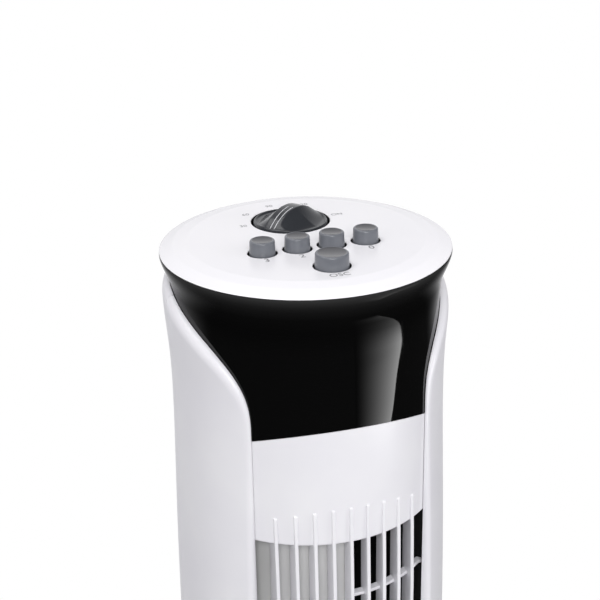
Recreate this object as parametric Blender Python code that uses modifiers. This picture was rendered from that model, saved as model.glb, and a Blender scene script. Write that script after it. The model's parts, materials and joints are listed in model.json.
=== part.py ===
"""Tower fan: weighted round base, oscillating tower, cross-flow blower and a control top.

Metres, +Z up. The origin is the centre of the base on the floor and the air outlet faces -Y.
Angles named bearing are measured about the tower's axis from the front, positive towards +X.
"""

from math import cos, exp, pi, radians, sin, sqrt

import bmesh
import bpy
from mathutils import Matrix, Vector

MM = 0.001
GAP = 0.3 * MM
MERGE = 0.01 * MM
ROUND_STEPS = 30
SMALL_STEPS = 16

# Heights of the whole fan
TOTAL_FACE = 800.0 * MM
RIM = TOTAL_FACE - 4.2 * MM
TOWER_FOOT = 52.3 * MM

# Base
BASE_RADIUS = 144.0 * MM
FOOT_HEIGHT = 4.0 * MM
FOOT_RADIUS = 9.0 * MM
FOOT_CIRCLE = 118.0 * MM
PIVOT_BORE = 31.5 * MM
DECK_TOP = 44.0 * MM
BASE_PLATE_RADIUS = 139.5 * MM
BASE_SCREW_CIRCLE = 90.0 * MM
SCREW_RADIUS = 1.6 * MM
SCREW_HEAD = 3.2 * MM
SCREW_TIP = 14.0 * MM
SCREW_FACE = 2.0 * MM
COLLAR_BORE = 36.0 * MM

# Oscillating drive: a crank pin runs in a radial slot of the tower's swing arm
CRANK_CENTRE = Vector((0.0, 22.0 * MM, 0.0))
CRANK_THROW = 12.6 * MM
ROLLER_RADIUS = 3.0 * MM
SLOT_WIDTH = 7.8 * MM

# Tower casing and front
WALL = 1.9 * MM
CASING_RADIUS = 85.0 * MM
WINDOW_EDGE = 40.6
CASING_SEAM = 90.0
SWOOSH_DROP = 88.5 * MM
SWOOSH_RISE = 67.0 * MM
SWOOSH_POWER = 0.34
CASING_DROP = 15.0 * MM
PANEL_RADIUS = 79.5 * MM
PANEL_WALL = 2.0 * MM
PANEL_LAP = 52.0
OUTLET_TOP = RIM - 155.4 * MM
OUTLET_BOTTOM = 196.0 * MM
OUTLET_EDGE = 41.0

# Grille
FIN_PITCH = 10.4 * MM
FIN_COUNT = 9
FIN_THICKNESS = 1.5 * MM
FIN_FRONT = 82.5 * MM
FIN_START = 80.3 * MM
FIN_SWELL = 81.2 * MM
FIN_ROOT = 78.2 * MM
FIN_REACH = 23.5 * MM
FIN_ARCH = 5.8 * MM
FIN_BACK = 70.5 * MM
FIN_RUN = 36.0 * MM
FIN_CHAMFER = 4.0 * MM
CROSSBAR_PITCH = 39.0 * MM
CROSSBAR_THICKNESS = 2.0 * MM
CROSSBAR_FRONT = 76.5 * MM
CROSSBAR_BACK = 71.6 * MM

# Blower
WHEEL_X = -4.0 * MM
WHEEL_Y = 14.0 * MM
WHEEL_RADIUS = 38.0 * MM
WHEEL_BOTTOM = 202.0 * MM
WHEEL_TOP = 634.0 * MM
BLADE_COUNT = 14
BLADE_CHORD = 9.0 * MM
BLADE_THICKNESS = 0.9 * MM
BLADE_PITCH = 28.0
DISC_COUNT = 4
DISC_THICKNESS = 2.0 * MM
DUCT_BOTTOM = 188.0 * MM
DUCT_TOP = 641.0 * MM
PLATE_THICKNESS = 3.0 * MM
SHAFT_RADIUS = 3.0 * MM
SHAFT_BORE = 3.4 * MM
MOTOR_RADIUS = 38.3 * MM
MOTOR_INSIDE = 36.3 * MM
MOTOR_SEAM = 108.5 * MM

# Control top, heights measured from the rim
COVER_RADIUS = 84.9 * MM
COVER_FLAT = 68.0 * MM
COVER_SPIGOT = 82.4 * MM
COVER_RISE = 4.2 * MM
HEAD_TUCK = 78.2 * MM
SWITCH_FOOT = -40.0 * MM
WELL_FOOT = -30.5 * MM
KNOB_Y = 30.3 * MM
KNOB_RADIUS = 22.7 * MM
KNOB_WELL = 23.7 * MM
RIDGE_WIDTH = 12.0 * MM
RIDGE_TOP = 15.5 * MM
POINTER_BEARING = -52.0
OSC_Y = -49.0 * MM
OSC_CAP = 9.7 * MM
OSC_HOLE = 10.7 * MM
SPEED_Y = -17.5 * MM
SPEED_PITCH = 20.5 * MM
SPEED_CAP = 7.5 * MM
SPEED_HOLE = 8.6 * MM
CAP_TOP = 12.0 * MM
CAP_BOTTOM = -6.0 * MM
STEM_RADIUS = 2.5 * MM
STEM_BORE = 3.2 * MM
DECK_UNDER = -14.0 * MM
DECK_THICKNESS = 2.5 * MM

# Air inlet: three slotted grilles in tall openings across the back
INTAKE_BOTTOM = 199.0 * MM
INTAKE_TOP = 631.0 * MM
INTAKE_STEP = 40.0
INTAKE_HALF = 18.9
INTAKE_GAP = 0.2
SLOT_ROWS = 7
SLOT_COLUMNS = 5
INTAKE_RAIL = 9.0 * MM
SLOT_OPEN = 5.6 * MM
SLOT_STEP = 8.2 * MM

# Carry handle, a pocket in the back
HANDLE_WIDTH = 88.0 * MM
HANDLE_BOTTOM = 655.0 * MM
HANDLE_TOP = 697.0 * MM
HANDLE_DEPTH_Y = 53.0 * MM


# ---------------------------------------------------------------- scene and materials

def clear_scene():
    for old in list(bpy.data.objects):
        bpy.data.objects.remove(old, do_unlink=True)


def new_collection(name):
    collection = bpy.data.collections.new(name)
    bpy.context.scene.collection.children.link(collection)
    return collection


def new_material(name, colour, roughness, metallic=0.0):
    material = bpy.data.materials.new(name)
    material.use_nodes = True
    shader = material.node_tree.nodes["Principled BSDF"]
    shader.inputs["Base Color"].default_value = (*colour, 1.0)
    shader.inputs["Roughness"].default_value = roughness
    shader.inputs["Metallic"].default_value = metallic
    return material


clear_scene()
FAN = new_collection("tower_fan")
CUTTERS = new_collection("cutters")

WHITE = new_material("white_plastic", (0.86, 0.86, 0.88), 0.35)
BLACK_GLOSS = new_material("black_gloss_plastic", (0.008, 0.008, 0.009), 0.08)
KNOB_GREY = new_material("dark_grey_plastic", (0.06, 0.06, 0.065), 0.25)
BUTTON_GREY = new_material("mid_grey_plastic", (0.25, 0.25, 0.27), 0.4)
BACKING_GREY = new_material("light_grey_plastic", (0.55, 0.55, 0.57), 0.5)
DUCT_BLACK = new_material("black_matt_plastic", (0.015, 0.015, 0.016), 0.6)
RUBBER = new_material("rubber", (0.02, 0.02, 0.02), 0.85)
STEEL = new_material("steel", (0.6, 0.6, 0.62), 0.3, 1.0)
COPPER = new_material("copper_winding", (0.6, 0.25, 0.1), 0.35, 1.0)


# ---------------------------------------------------------------- modelling tools

def add_object(name, mesh, material, collection=None):
    part = bpy.data.objects.new(name, mesh)
    mesh.materials.append(material)
    (collection or FAN).objects.link(part)
    return part


def mesh_from(name, shape, smooth=True):
    mesh = bpy.data.meshes.new(name)
    shape.to_mesh(mesh)
    shape.free()
    if smooth:
        mesh.shade_smooth()
        mesh.set_sharp_from_angle(angle=radians(35.0))
    return mesh


def turned(name, profile, material, centre=(0.0, 0.0), steps=ROUND_STEPS, collection=None):
    """Turn a profile of (radius, height) points about a vertical axis.

    The points run down the outer side. A profile that starts off the axis closes into a ring.
    """
    shape = bmesh.new()
    points = [shape.verts.new((radius, 0.0, height)) for radius, height in profile]
    for first, second in zip(points, points[1:]):
        shape.edges.new((first, second))
    if profile[0][0] > 0.0:
        shape.edges.new((points[-1], points[0]))
    part = add_object(name, mesh_from(name, shape, smooth=False), material, collection)
    part.location = (centre[0], centre[1], 0.0)
    screw = part.modifiers.new("turn", "SCREW")
    screw.axis = "Z"
    screw.steps = steps
    screw.render_steps = steps
    screw.use_merge_vertices = True
    screw.merge_threshold = MERGE
    screw.use_smooth_shade = True
    return part


def disc(name, radius, bottom, top, material, centre=(0.0, 0.0), steps=SMALL_STEPS, collection=None):
    profile = [(0.0, top), (radius, top), (radius, bottom), (0.0, bottom)]
    return turned(name, profile, material, centre, steps, collection)


def ring(name, inner, outer, bottom, top, material, centre=(0.0, 0.0), steps=ROUND_STEPS):
    profile = [(inner, top), (outer, top), (outer, bottom), (inner, bottom)]
    return turned(name, profile, material, centre, steps)


def block(name, low, high, material, collection=None):
    """Box between two opposite corners."""
    low = Vector(low)
    high = Vector(high)
    shape = bmesh.new()
    bmesh.ops.create_cube(shape, size=1.0, matrix=Matrix.LocRotScale((low + high) / 2, None, high - low))
    return add_object(name, mesh_from(name, shape, smooth=False), material, collection)


def curved_sheet(name, columns, rows, place, thickness, material, wraps=False, offset=-1.0,
                 collection=None):
    """Grid that place(u, v) bends into shape, thickened by Solidify."""
    shape = bmesh.new()
    bmesh.ops.create_grid(shape, x_segments=columns, y_segments=rows, size=0.5)
    for vertex in shape.verts:
        vertex.co = place(vertex.co.x + 0.5, vertex.co.y + 0.5)
    if wraps:
        bmesh.ops.remove_doubles(shape, verts=shape.verts, dist=MERGE)
    part = add_object(name, mesh_from(name, shape), material, collection)
    solidify = part.modifiers.new("wall", "SOLIDIFY")
    solidify.thickness = thickness
    solidify.offset = offset
    return part


def boolean(part, other, operation):
    modifier = part.modifiers.new(operation.lower(), "BOOLEAN")
    modifier.operation = operation
    modifier.solver = "EXACT"
    modifier.object = other
    return part


def cut(part, cutter):
    cutter.hide_render = True
    cutter.display_type = "WIRE"
    return boolean(part, cutter, "DIFFERENCE")


def weld_on(part, piece):
    piece.hide_render = True
    piece.display_type = "WIRE"
    return boolean(part, piece, "UNION")


def joined(name, pieces, material):
    """One cutter or filler object made of several separate closed shapes."""
    graph = bpy.context.evaluated_depsgraph_get()
    shape = bmesh.new()
    for piece in pieces:
        mesh = bpy.data.meshes.new_from_object(piece.evaluated_get(graph))
        mesh.transform(piece.matrix_world)
        shape.from_mesh(mesh)
        bpy.data.meshes.remove(mesh)
    bmesh.ops.remove_doubles(shape, verts=shape.verts, dist=MERGE / 10)
    mesh = mesh_from(name, shape, smooth=False)
    for piece in pieces:
        bpy.data.objects.remove(piece, do_unlink=True)
    return add_object(name, mesh, material, CUTTERS)


def on_bearing(radius, bearing, height=0.0):
    """Point at a radius and bearing, in degrees, about the tower's axis."""
    angle = radians(bearing)
    return Vector((radius * sin(angle), -radius * cos(angle), height))


def between(points, value):
    """Straight-line value between the (key, value) points."""
    if value <= points[0][0]:
        return points[0][1]
    for (key, low), (next_key, high) in zip(points, points[1:]):
        if value <= next_key:
            return low + (high - low) * (value - key) / (next_key - key)
    return points[-1][1]


def pick(levels, share):
    return levels[round(share * (len(levels) - 1))]


# ---------------------------------------------------------------- tower outline

CASING_PROFILE = [
    (RIM - 230.0 * MM, CASING_RADIUS),
    (RIM - 168.0 * MM, 83.7 * MM),
    (RIM - 126.0 * MM, 82.5 * MM),
    (RIM - 90.0 * MM, 81.8 * MM),
    (RIM - 60.0 * MM, 82.5 * MM),
    (RIM - 45.0 * MM, 83.5 * MM),
    (RIM - 31.0 * MM, 84.4 * MM),
    (RIM - CASING_DROP, 84.4 * MM),
]
CASING_LEVELS = [TOWER_FOOT, 0.2, 0.38] + [height for height, radius in CASING_PROFILE[:4]]
CASING_LEVELS[-1] = RIM - SWOOSH_DROP
SWOOSH_ROWS = 4


def casing_top(bearing):
    """Top edge of the white casing: it sweeps up from the outlet's edges to the rim at the back."""
    share = max(abs(bearing) - WINDOW_EDGE, 0.0) / (CASING_SEAM - WINDOW_EDGE)
    return min(RIM - SWOOSH_DROP + SWOOSH_RISE * share ** SWOOSH_POWER, RIM - CASING_DROP)


def casing_point(bearing, share):
    """Point on the casing; the first shares are fixed levels, the last follow the swept edge."""
    row = round(share * (len(CASING_LEVELS) - 1 + SWOOSH_ROWS))
    if row < len(CASING_LEVELS):
        height = CASING_LEVELS[row]
    else:
        rise = (row - len(CASING_LEVELS) + 1) / SWOOSH_ROWS
        height = CASING_LEVELS[-1] + rise * (casing_top(bearing) - CASING_LEVELS[-1])
    return on_bearing(between(CASING_PROFILE, height), bearing, height)


CASING_ROWS = len(CASING_LEVELS) - 1 + SWOOSH_ROWS


def panel_top(bearing):
    """Arched line where the black head meets the white front panel."""
    share = min(abs(bearing) / WINDOW_EDGE, 1.0)
    return RIM - (81.65 + 8.5 * share ** 2) * MM


# ---------------------------------------------------------------- base

def make_base():
    outer = [(PIVOT_BORE, DECK_TOP), (64 * MM, DECK_TOP), (98 * MM, 39 * MM), (130 * MM, 25 * MM),
             (143 * MM, 10 * MM), (BASE_RADIUS, FOOT_HEIGHT + GAP)]
    inner = [(141 * MM, FOOT_HEIGHT + GAP), (140.5 * MM, 9 * MM), (128 * MM, 22.5 * MM), (97 * MM, 36 * MM),
             (64 * MM, 41 * MM), (37 * MM, 41 * MM), (37 * MM, 34 * MM), (PIVOT_BORE, 34 * MM)]
    turned("base_shell", outer + inner, WHITE, steps=40)

    plate_bottom = FOOT_HEIGHT + GAP
    plate = disc("base_plate", BASE_PLATE_RADIUS, plate_bottom, plate_bottom + 2.5 * MM, DUCT_BLACK,
                 steps=ROUND_STEPS)
    screw_holes = []
    for index in range(3):
        spot = on_bearing(BASE_SCREW_CIRCLE, 60.0 + 120.0 * index)
        screw_profile = [(0.0, SCREW_TIP), (SCREW_RADIUS, SCREW_TIP), (SCREW_RADIUS, FOOT_HEIGHT),
                         (SCREW_HEAD, FOOT_HEIGHT), (SCREW_HEAD, SCREW_FACE), (0.0, SCREW_FACE)]
        turned(f"base_screw_{index + 1}", screw_profile, STEEL, spot.xy, 8)
        screw_holes.append(disc(f"screw_hole_{index}", 2.0 * MM, 0.0, 20 * MM, STEEL, spot.xy, 12, CUTTERS))
    cut(plate, joined("base_screw_holes", screw_holes, STEEL))
    for index in range(4):
        spot = on_bearing(FOOT_CIRCLE, 45.0 + 90.0 * index)
        disc(f"rubber_foot_{index + 1}", FOOT_RADIUS, 0.0, FOOT_HEIGHT, RUBBER, spot.xy)

    collar_top = TOWER_FOOT - 0.5 * MM
    collar = [(COLLAR_BORE, collar_top), (54 * MM, collar_top), (60 * MM, 48 * MM), (62 * MM, DECK_TOP + GAP),
              (COLLAR_BORE, DECK_TOP + GAP)]
    turned("pivot_collar", collar, DUCT_BLACK)


# ---------------------------------------------------------------- oscillating drive

def make_oscillator():
    centre = CRANK_CENTRE.xy
    motor = [(0.0, 19.2 * MM), (2.5 * MM, 19.2 * MM), (2.5 * MM, 17 * MM), (22 * MM, 17 * MM),
             (22 * MM, 7.1 * MM), (0.0, 7.1 * MM)]
    turned("osc_motor", motor, STEEL, centre, 18)
    crank = disc("crank_disc", 16.5 * MM, 19.5 * MM, 23 * MM, DUCT_BLACK, centre, 18)
    pin_centre = centre + Vector((0.0, CRANK_THROW))
    local_pin = pin_centre - centre
    pin = disc("crank_pin", 1.5 * MM, 21 * MM, 30 * MM, DUCT_BLACK, pin_centre, 12, CUTTERS)
    weld_on(crank, pin)
    roller = ring("crank_roller", 1.8 * MM, ROLLER_RADIUS, 23.3 * MM, 29.8 * MM, STEEL, local_pin,
                  SMALL_STEPS)
    roller.parent = crank

    turntable = [(24 * MM, TOWER_FOOT + 4 * MM), (81.8 * MM, TOWER_FOOT + 4 * MM), (81.8 * MM, TOWER_FOOT),
                 (31 * MM, TOWER_FOOT), (31 * MM, 33.8 * MM), (24 * MM, 33.8 * MM)]
    turned("turntable", turntable, DUCT_BLACK)
    ring("turntable_retainer", 20 * MM, 36.5 * MM, 30.5 * MM, 33.5 * MM, STEEL)
    arm_bottom = 26 * MM
    arm_top = 30.2 * MM
    arm = disc("swing_arm", 24 * MM, arm_bottom, arm_top, STEEL, steps=ROUND_STEPS)
    tongue = block("arm_tongue", (-8 * MM, 0, arm_bottom), (8 * MM, 43 * MM, arm_top), STEEL, CUTTERS)
    slot = block("arm_slot", (-SLOT_WIDTH / 2, 17 * MM, 20 * MM), (SLOT_WIDTH / 2, 39 * MM, 40 * MM), STEEL,
                 CUTTERS)
    weld_on(arm, tongue)
    cut(arm, slot)


# ---------------------------------------------------------------- casing

def make_casing():
    seam = CASING_SEAM - 0.2
    for side, name in ((-1, "side_wing_left"), (1, "side_wing_right")):
        def place(u, v, side=side):
            share = u if side > 0 else 1.0 - u
            return casing_point(side * (WINDOW_EDGE + (seam - WINDOW_EDGE) * share ** 2), v)
        curved_sheet(name, 8, CASING_ROWS, place, WALL, WHITE)

    def rear_point(u, v):
        bearing = CASING_SEAM + 0.2 + (359.6 - 2 * CASING_SEAM) * u
        turned_back = bearing if bearing <= 180.0 else bearing - 360.0
        return casing_point(turned_back, v)

    housing = curved_sheet("rear_housing", 20, CASING_ROWS, rear_point, WALL, WHITE)
    cut(housing, joined("intake_openings", intake_openings(), WHITE))
    grip = block("handle_window", (-HANDLE_WIDTH / 2, 40 * MM, HANDLE_BOTTOM),
                 (HANDLE_WIDTH / 2, 100 * MM, HANDLE_TOP), WHITE, CUTTERS)
    cut(housing, grip)
    make_intake_grilles()
    make_handle_cup()
    make_housing_screws(housing)


def intake_openings():
    """Cutters for the tall openings in the back."""
    openings = []
    for index in range(3):
        middle = 180.0 + INTAKE_STEP * (index - 1)

        def place(u, v, middle=middle):
            return on_bearing((70 + 30 * v) * MM, middle + INTAKE_HALF * (2 * u - 1), INTAKE_BOTTOM)

        openings.append(curved_sheet(f"opening_{index}", 4, 1, place, INTAKE_TOP - INTAKE_BOTTOM, WHITE,
                                     offset=-1.0, collection=CUTTERS))
    return openings


def make_intake_grilles():
    """Grilles of tall slots that clip into the openings in the back."""
    levels = [INTAKE_BOTTOM + GAP, CASING_PROFILE[0][0], INTAKE_TOP - GAP]
    half = INTAKE_HALF - INTAKE_GAP
    pitch = (INTAKE_TOP - INTAKE_BOTTOM - INTAKE_RAIL) / SLOT_ROWS
    for index, side in enumerate(("right", "middle", "left")):
        middle = 180.0 + INTAKE_STEP * (index - 1)

        def place(u, v, middle=middle):
            height = pick(levels, v)
            return on_bearing(between(CASING_PROFILE, height), middle + half * (2 * u - 1), height)

        grille = curved_sheet(f"intake_grille_{side}", 6, len(levels) - 1, place, WALL, WHITE)
        slots = []
        for row in range(SLOT_ROWS):
            bottom = INTAKE_BOTTOM + INTAKE_RAIL + pitch * row
            for column in range(SLOT_COLUMNS):
                x = SLOT_STEP * (column - (SLOT_COLUMNS - 1) / 2)
                slot = block(f"slot_{row}_{column}", (x - SLOT_OPEN / 2, -95 * MM, bottom),
                             (x + SLOT_OPEN / 2, -70 * MM, bottom + pitch - INTAKE_RAIL), WHITE, CUTTERS)
                slot.rotation_euler = (0.0, 0.0, radians(middle))
                slots.append(slot)
        bpy.context.view_layer.update()
        cut(grille, joined(f"slots_{side}", slots, WHITE))


def make_handle_cup():
    """Finger pocket behind the window in the back, open towards +Y."""
    wall = 2.0 * MM
    half = HANDLE_WIDTH / 2 + wall
    cup = block("handle_cup", (-half, HANDLE_DEPTH_Y - wall, HANDLE_BOTTOM - wall),
                (half, 100 * MM, HANDLE_TOP + wall), WHITE)
    hollow = block("cup_hollow", (-HANDLE_WIDTH / 2, HANDLE_DEPTH_Y, HANDLE_BOTTOM),
                   (HANDLE_WIDTH / 2, 110 * MM, HANDLE_TOP), WHITE, CUTTERS)
    inside = disc("cup_limit", 79.0 * MM, 640 * MM, 720 * MM, WHITE, steps=ROUND_STEPS, collection=CUTTERS)
    cut(cup, hollow)
    inside.hide_render = True
    inside.display_type = "WIRE"
    boolean(cup, inside, "INTERSECT")


def make_housing_screws(housing):
    """Two screws hold the top of the back; its foot hooks behind the turntable."""
    height = 662 * MM
    radius = between(CASING_PROFILE, height)
    head = (radius + 2 * MM, radius + GAP)
    profile = [(0.0, head[0]), (3.2 * MM, head[0]), (3.2 * MM, head[1]), (1.6 * MM, head[1]),
               (1.6 * MM, radius - 9 * MM), (0.0, radius - 9 * MM)]
    holes = []
    for index, bearing in enumerate((132.0, 228.0)):
        screw = turned(f"housing_screw_{index + 1}", profile, STEEL, steps=8)
        hole = disc(f"housing_hole_{index}", 2.0 * MM, radius - 8 * MM, radius + 8 * MM, STEEL, steps=12,
                    collection=CUTTERS)
        for piece in (screw, hole):
            piece.rotation_euler = (pi / 2, 0.0, radians(bearing))
            piece.location = (0.0, 0.0, height)
        holes.append(hole)
    bpy.context.view_layer.update()
    cut(housing, joined("housing_screw_holes", holes, STEEL))


# ---------------------------------------------------------------- front grille

def make_fins():
    """Upright plates; each swells forward out of the panel below its top and above its foot."""
    head = OUTLET_TOP + FIN_REACH
    foot = OUTLET_BOTTOM - FIN_REACH
    side = [(FIN_ROOT, head), (FIN_START, head), (FIN_SWELL, OUTLET_TOP),
            (FIN_FRONT, OUTLET_TOP - FIN_RUN), (FIN_FRONT, OUTLET_BOTTOM + FIN_RUN),
            (FIN_SWELL, OUTLET_BOTTOM), (FIN_START, foot), (FIN_ROOT, foot), (FIN_ROOT, OUTLET_BOTTOM),
            (FIN_BACK, OUTLET_BOTTOM + FIN_CHAMFER), (FIN_BACK, OUTLET_TOP - FIN_CHAMFER),
            (FIN_ROOT, OUTLET_TOP)]
    fins = []
    for index in range(FIN_COUNT):
        x = FIN_PITCH * (index - (FIN_COUNT - 1) / 2)
        arch = FIN_ARCH * (x / (FIN_PITCH * (FIN_COUNT - 1) / 2)) ** 2
        shape = bmesh.new()
        outline = []
        for radius, height in side:
            drop = arch if height == head else 0.0
            corner = (x - FIN_THICKNESS / 2, -sqrt(radius ** 2 - x ** 2), height - drop)
            outline.append(shape.verts.new(corner))
        face = shape.faces.new(outline)
        swept = bmesh.ops.extrude_face_region(shape, geom=[face])
        moved = [item for item in swept["geom"] if isinstance(item, bmesh.types.BMVert)]
        bmesh.ops.translate(shape, vec=(FIN_THICKNESS, 0.0, 0.0), verts=moved)
        bmesh.ops.recalc_face_normals(shape, faces=shape.faces)
        mesh = mesh_from(f"fin_{index}", shape, smooth=False)
        fins.append(add_object(f"fin_{index}", mesh, WHITE, CUTTERS))
    return fins


def make_crossbars():
    """Level bars over the open half of the outlet; each steps out to meet the panel at its end."""
    bearings = [0.0, 14.0, 28.0, 41.5, 45.0]
    bars = []
    height = OUTLET_TOP - CROSSBAR_PITCH
    while height > OUTLET_BOTTOM + CROSSBAR_PITCH / 3:
        def place(u, v, height=height):
            step = 0.0 if u < 1.0 else PANEL_RADIUS - PANEL_WALL / 2 - CROSSBAR_FRONT
            radius = CROSSBAR_BACK + (CROSSBAR_FRONT - CROSSBAR_BACK) * v + step
            return on_bearing(radius, pick(bearings, u), height)
        bars.append(curved_sheet(f"crossbar_{len(bars)}", len(bearings) - 1, 1, place, CROSSBAR_THICKNESS,
                                 WHITE, offset=0.0, collection=CUTTERS))
        height -= CROSSBAR_PITCH
    return bars


def make_front_grille():
    bottom = TOWER_FOOT + 4.7 * MM
    levels = [0.0, 0.2, 0.5, 0.8, 1.0]

    def place(u, v):
        bearing = PANEL_LAP * (2 * u - 1)
        top = panel_top(bearing) - 2 * GAP
        return on_bearing(PANEL_RADIUS, bearing, bottom + (top - bottom) * pick(levels, v))

    grille = curved_sheet("front_grille", 20, len(levels) - 1, place, PANEL_WALL, WHITE)

    def window_place(u, v):
        return on_bearing((60 + 40 * v) * MM, OUTLET_EDGE * (2 * u - 1), OUTLET_TOP)

    window = curved_sheet("outlet_window", 8, 1, window_place, OUTLET_TOP - OUTLET_BOTTOM, WHITE,
                          offset=1.0, collection=CUTTERS)
    cut(grille, window)
    weld_on(grille, joined("fins", make_fins(), WHITE))
    weld_on(grille, joined("crossbars", make_crossbars(), WHITE))


# ---------------------------------------------------------------- blower and duct

def make_wheel():
    axis = (WHEEL_X, WHEEL_Y)
    spacing = (WHEEL_TOP - WHEEL_BOTTOM - DISC_THICKNESS) / (DISC_COUNT - 1)
    discs = []
    for index in range(DISC_COUNT):
        bottom = WHEEL_BOTTOM + spacing * index
        bore = 27 * MM
        if index == 0:
            bore = 10.3 * MM
        if index == DISC_COUNT - 1:
            bore = SHAFT_BORE
        discs.append(ring(f"disc_{index}", bore, WHEEL_RADIUS, bottom, bottom + DISC_THICKNESS, DUCT_BLACK,
                          axis, BLADE_COUNT))
    blades = []
    for index in range(BLADE_COUNT):
        blade = block(f"blade_{index}", (-BLADE_CHORD / 2, -BLADE_THICKNESS / 2, WHEEL_BOTTOM + 0.4 * MM),
                      (BLADE_CHORD / 2, BLADE_THICKNESS / 2, WHEEL_TOP - 0.4 * MM), DUCT_BLACK, CUTTERS)
        angle = 2 * pi * index / BLADE_COUNT
        reach = 32.5 * MM
        blade.location = (WHEEL_X + reach * cos(angle), WHEEL_Y + reach * sin(angle), 0.0)
        blade.rotation_euler = (0.0, 0.0, angle + radians(BLADE_PITCH))
        blades.append(blade)
    bpy.context.view_layer.update()
    wheel = joined("blower_wheel", discs, DUCT_BLACK)
    CUTTERS.objects.unlink(wheel)
    FAN.objects.link(wheel)
    weld_on(wheel, joined("blades", blades, DUCT_BLACK))

    ring("wheel_hub", SHAFT_BORE, 10 * MM, WHEEL_BOTTOM - 3 * MM, WHEEL_BOTTOM + 8 * MM, RUBBER, axis, 18)
    axle = [(0.0, 655 * MM), (SHAFT_RADIUS, 655 * MM), (SHAFT_RADIUS, WHEEL_TOP + 2 * MM),
            (8 * MM, WHEEL_TOP + 2 * MM), (8 * MM, WHEEL_TOP + GAP), (SHAFT_RADIUS, WHEEL_TOP + GAP),
            (SHAFT_RADIUS, WHEEL_TOP - 8 * MM), (0.0, WHEEL_TOP - 8 * MM)]
    turned("top_axle", axle, STEEL, axis, SMALL_STEPS)


def make_motor():
    axis = (WHEEL_X, WHEEL_Y)
    rotor = [(0.0, WHEEL_BOTTOM + 6 * MM), (SHAFT_RADIUS, WHEEL_BOTTOM + 6 * MM), (SHAFT_RADIUS, 122 * MM),
             (19.4 * MM, 122 * MM), (19.4 * MM, 95 * MM), (SHAFT_RADIUS, 95 * MM), (SHAFT_RADIUS, 80 * MM),
             (0.0, 80 * MM)]
    turned("motor_rotor", rotor, STEEL, axis, 18)
    ring("motor_winding", 20 * MM, 23.7 * MM, 90 * MM, 127 * MM, COPPER, axis, 18)
    ring("motor_stator", 24 * MM, 36 * MM, 96 * MM, 121 * MM, STEEL, axis, 18)
    upper = [(SHAFT_BORE, 131 * MM), (MOTOR_RADIUS, 131 * MM), (MOTOR_RADIUS, MOTOR_SEAM + GAP),
             (MOTOR_INSIDE, MOTOR_SEAM + GAP), (MOTOR_INSIDE, 128.5 * MM), (SHAFT_BORE, 128.5 * MM)]
    turned("motor_cup_upper", upper, STEEL, axis, 18)
    lower = [(SHAFT_BORE, 86.5 * MM), (MOTOR_INSIDE, 86.5 * MM), (MOTOR_INSIDE, MOTOR_SEAM),
             (MOTOR_RADIUS, MOTOR_SEAM), (MOTOR_RADIUS, 84 * MM), (SHAFT_BORE, 84 * MM)]
    turned("motor_cup_lower", lower, STEEL, axis, 18)
    ring("motor_mount", 29 * MM, 36 * MM, TOWER_FOOT + 4.3 * MM, 83.7 * MM, RUBBER, axis, 18)


def make_duct():
    for name, bottom in (("duct_bottom_plate", DUCT_BOTTOM), ("duct_top_plate", DUCT_TOP)):
        plate = disc(name, 76 * MM, bottom, bottom + PLATE_THICKNESS, DUCT_BLACK, steps=ROUND_STEPS)
        bore = 5 * MM
        if name == "duct_top_plate":
            bore = 5.3 * MM
        hole = disc(f"{name}_bore", bore, bottom - 5 * MM, bottom + 8 * MM, DUCT_BLACK, (WHEEL_X, WHEEL_Y),
                    collection=CUTTERS)
        cut(plate, hole)
    holder_bottom = DUCT_TOP + PLATE_THICKNESS + GAP
    ring("bearing_holder", 5.3 * MM, 14 * MM, holder_bottom, holder_bottom + 8 * MM, DUCT_BLACK,
         (WHEEL_X, WHEEL_Y), 18)
    ring("bearing_bush", SHAFT_BORE, 5 * MM, DUCT_TOP, holder_bottom + 8 * MM, STEEL, (WHEEL_X, WHEEL_Y),
         SMALL_STEPS)

    bottom = DUCT_BOTTOM + PLATE_THICKNESS + GAP
    top = DUCT_TOP - GAP
    start = 60.0
    end = -50.3
    growth = 0.342

    def scroll(u, v):
        """Spiral wall that opens from the wheel's back to the outlet's right edge."""
        angle = radians(start + (end - start) * u)
        reach = 42.5 * MM * exp(growth * (radians(start) - angle))
        height = bottom + (top - bottom) * v
        return Vector((WHEEL_X + reach * cos(angle), WHEEL_Y + reach * sin(angle), height))

    curved_sheet("scroll_wall", 14, 1, scroll, 2.0 * MM, DUCT_BLACK, offset=0.0)

    backing = 69.0 * MM
    tip = Vector((-21.5 * MM, -25.0 * MM))
    corner = Vector((1.0 * MM, -backing))

    def tongue(u, v):
        """Blank behind the left half of the outlet, then the tongue that runs back to the wheel."""
        turn = 0.6
        if u <= turn:
            point = on_bearing(backing, -46.0 + 46.8 * u / turn).xy
        else:
            share = (u - turn) / (1 - turn)
            point = corner.lerp(tip, share) + Vector((7 * MM * sin(pi * share), 0.0))
        return Vector((point.x, point.y, bottom + (top - bottom) * v))

    curved_sheet("vortex_tongue", 15, 1, tongue, 1.6 * MM, BACKING_GREY, offset=0.0)


# ---------------------------------------------------------------- head and controls

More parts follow.
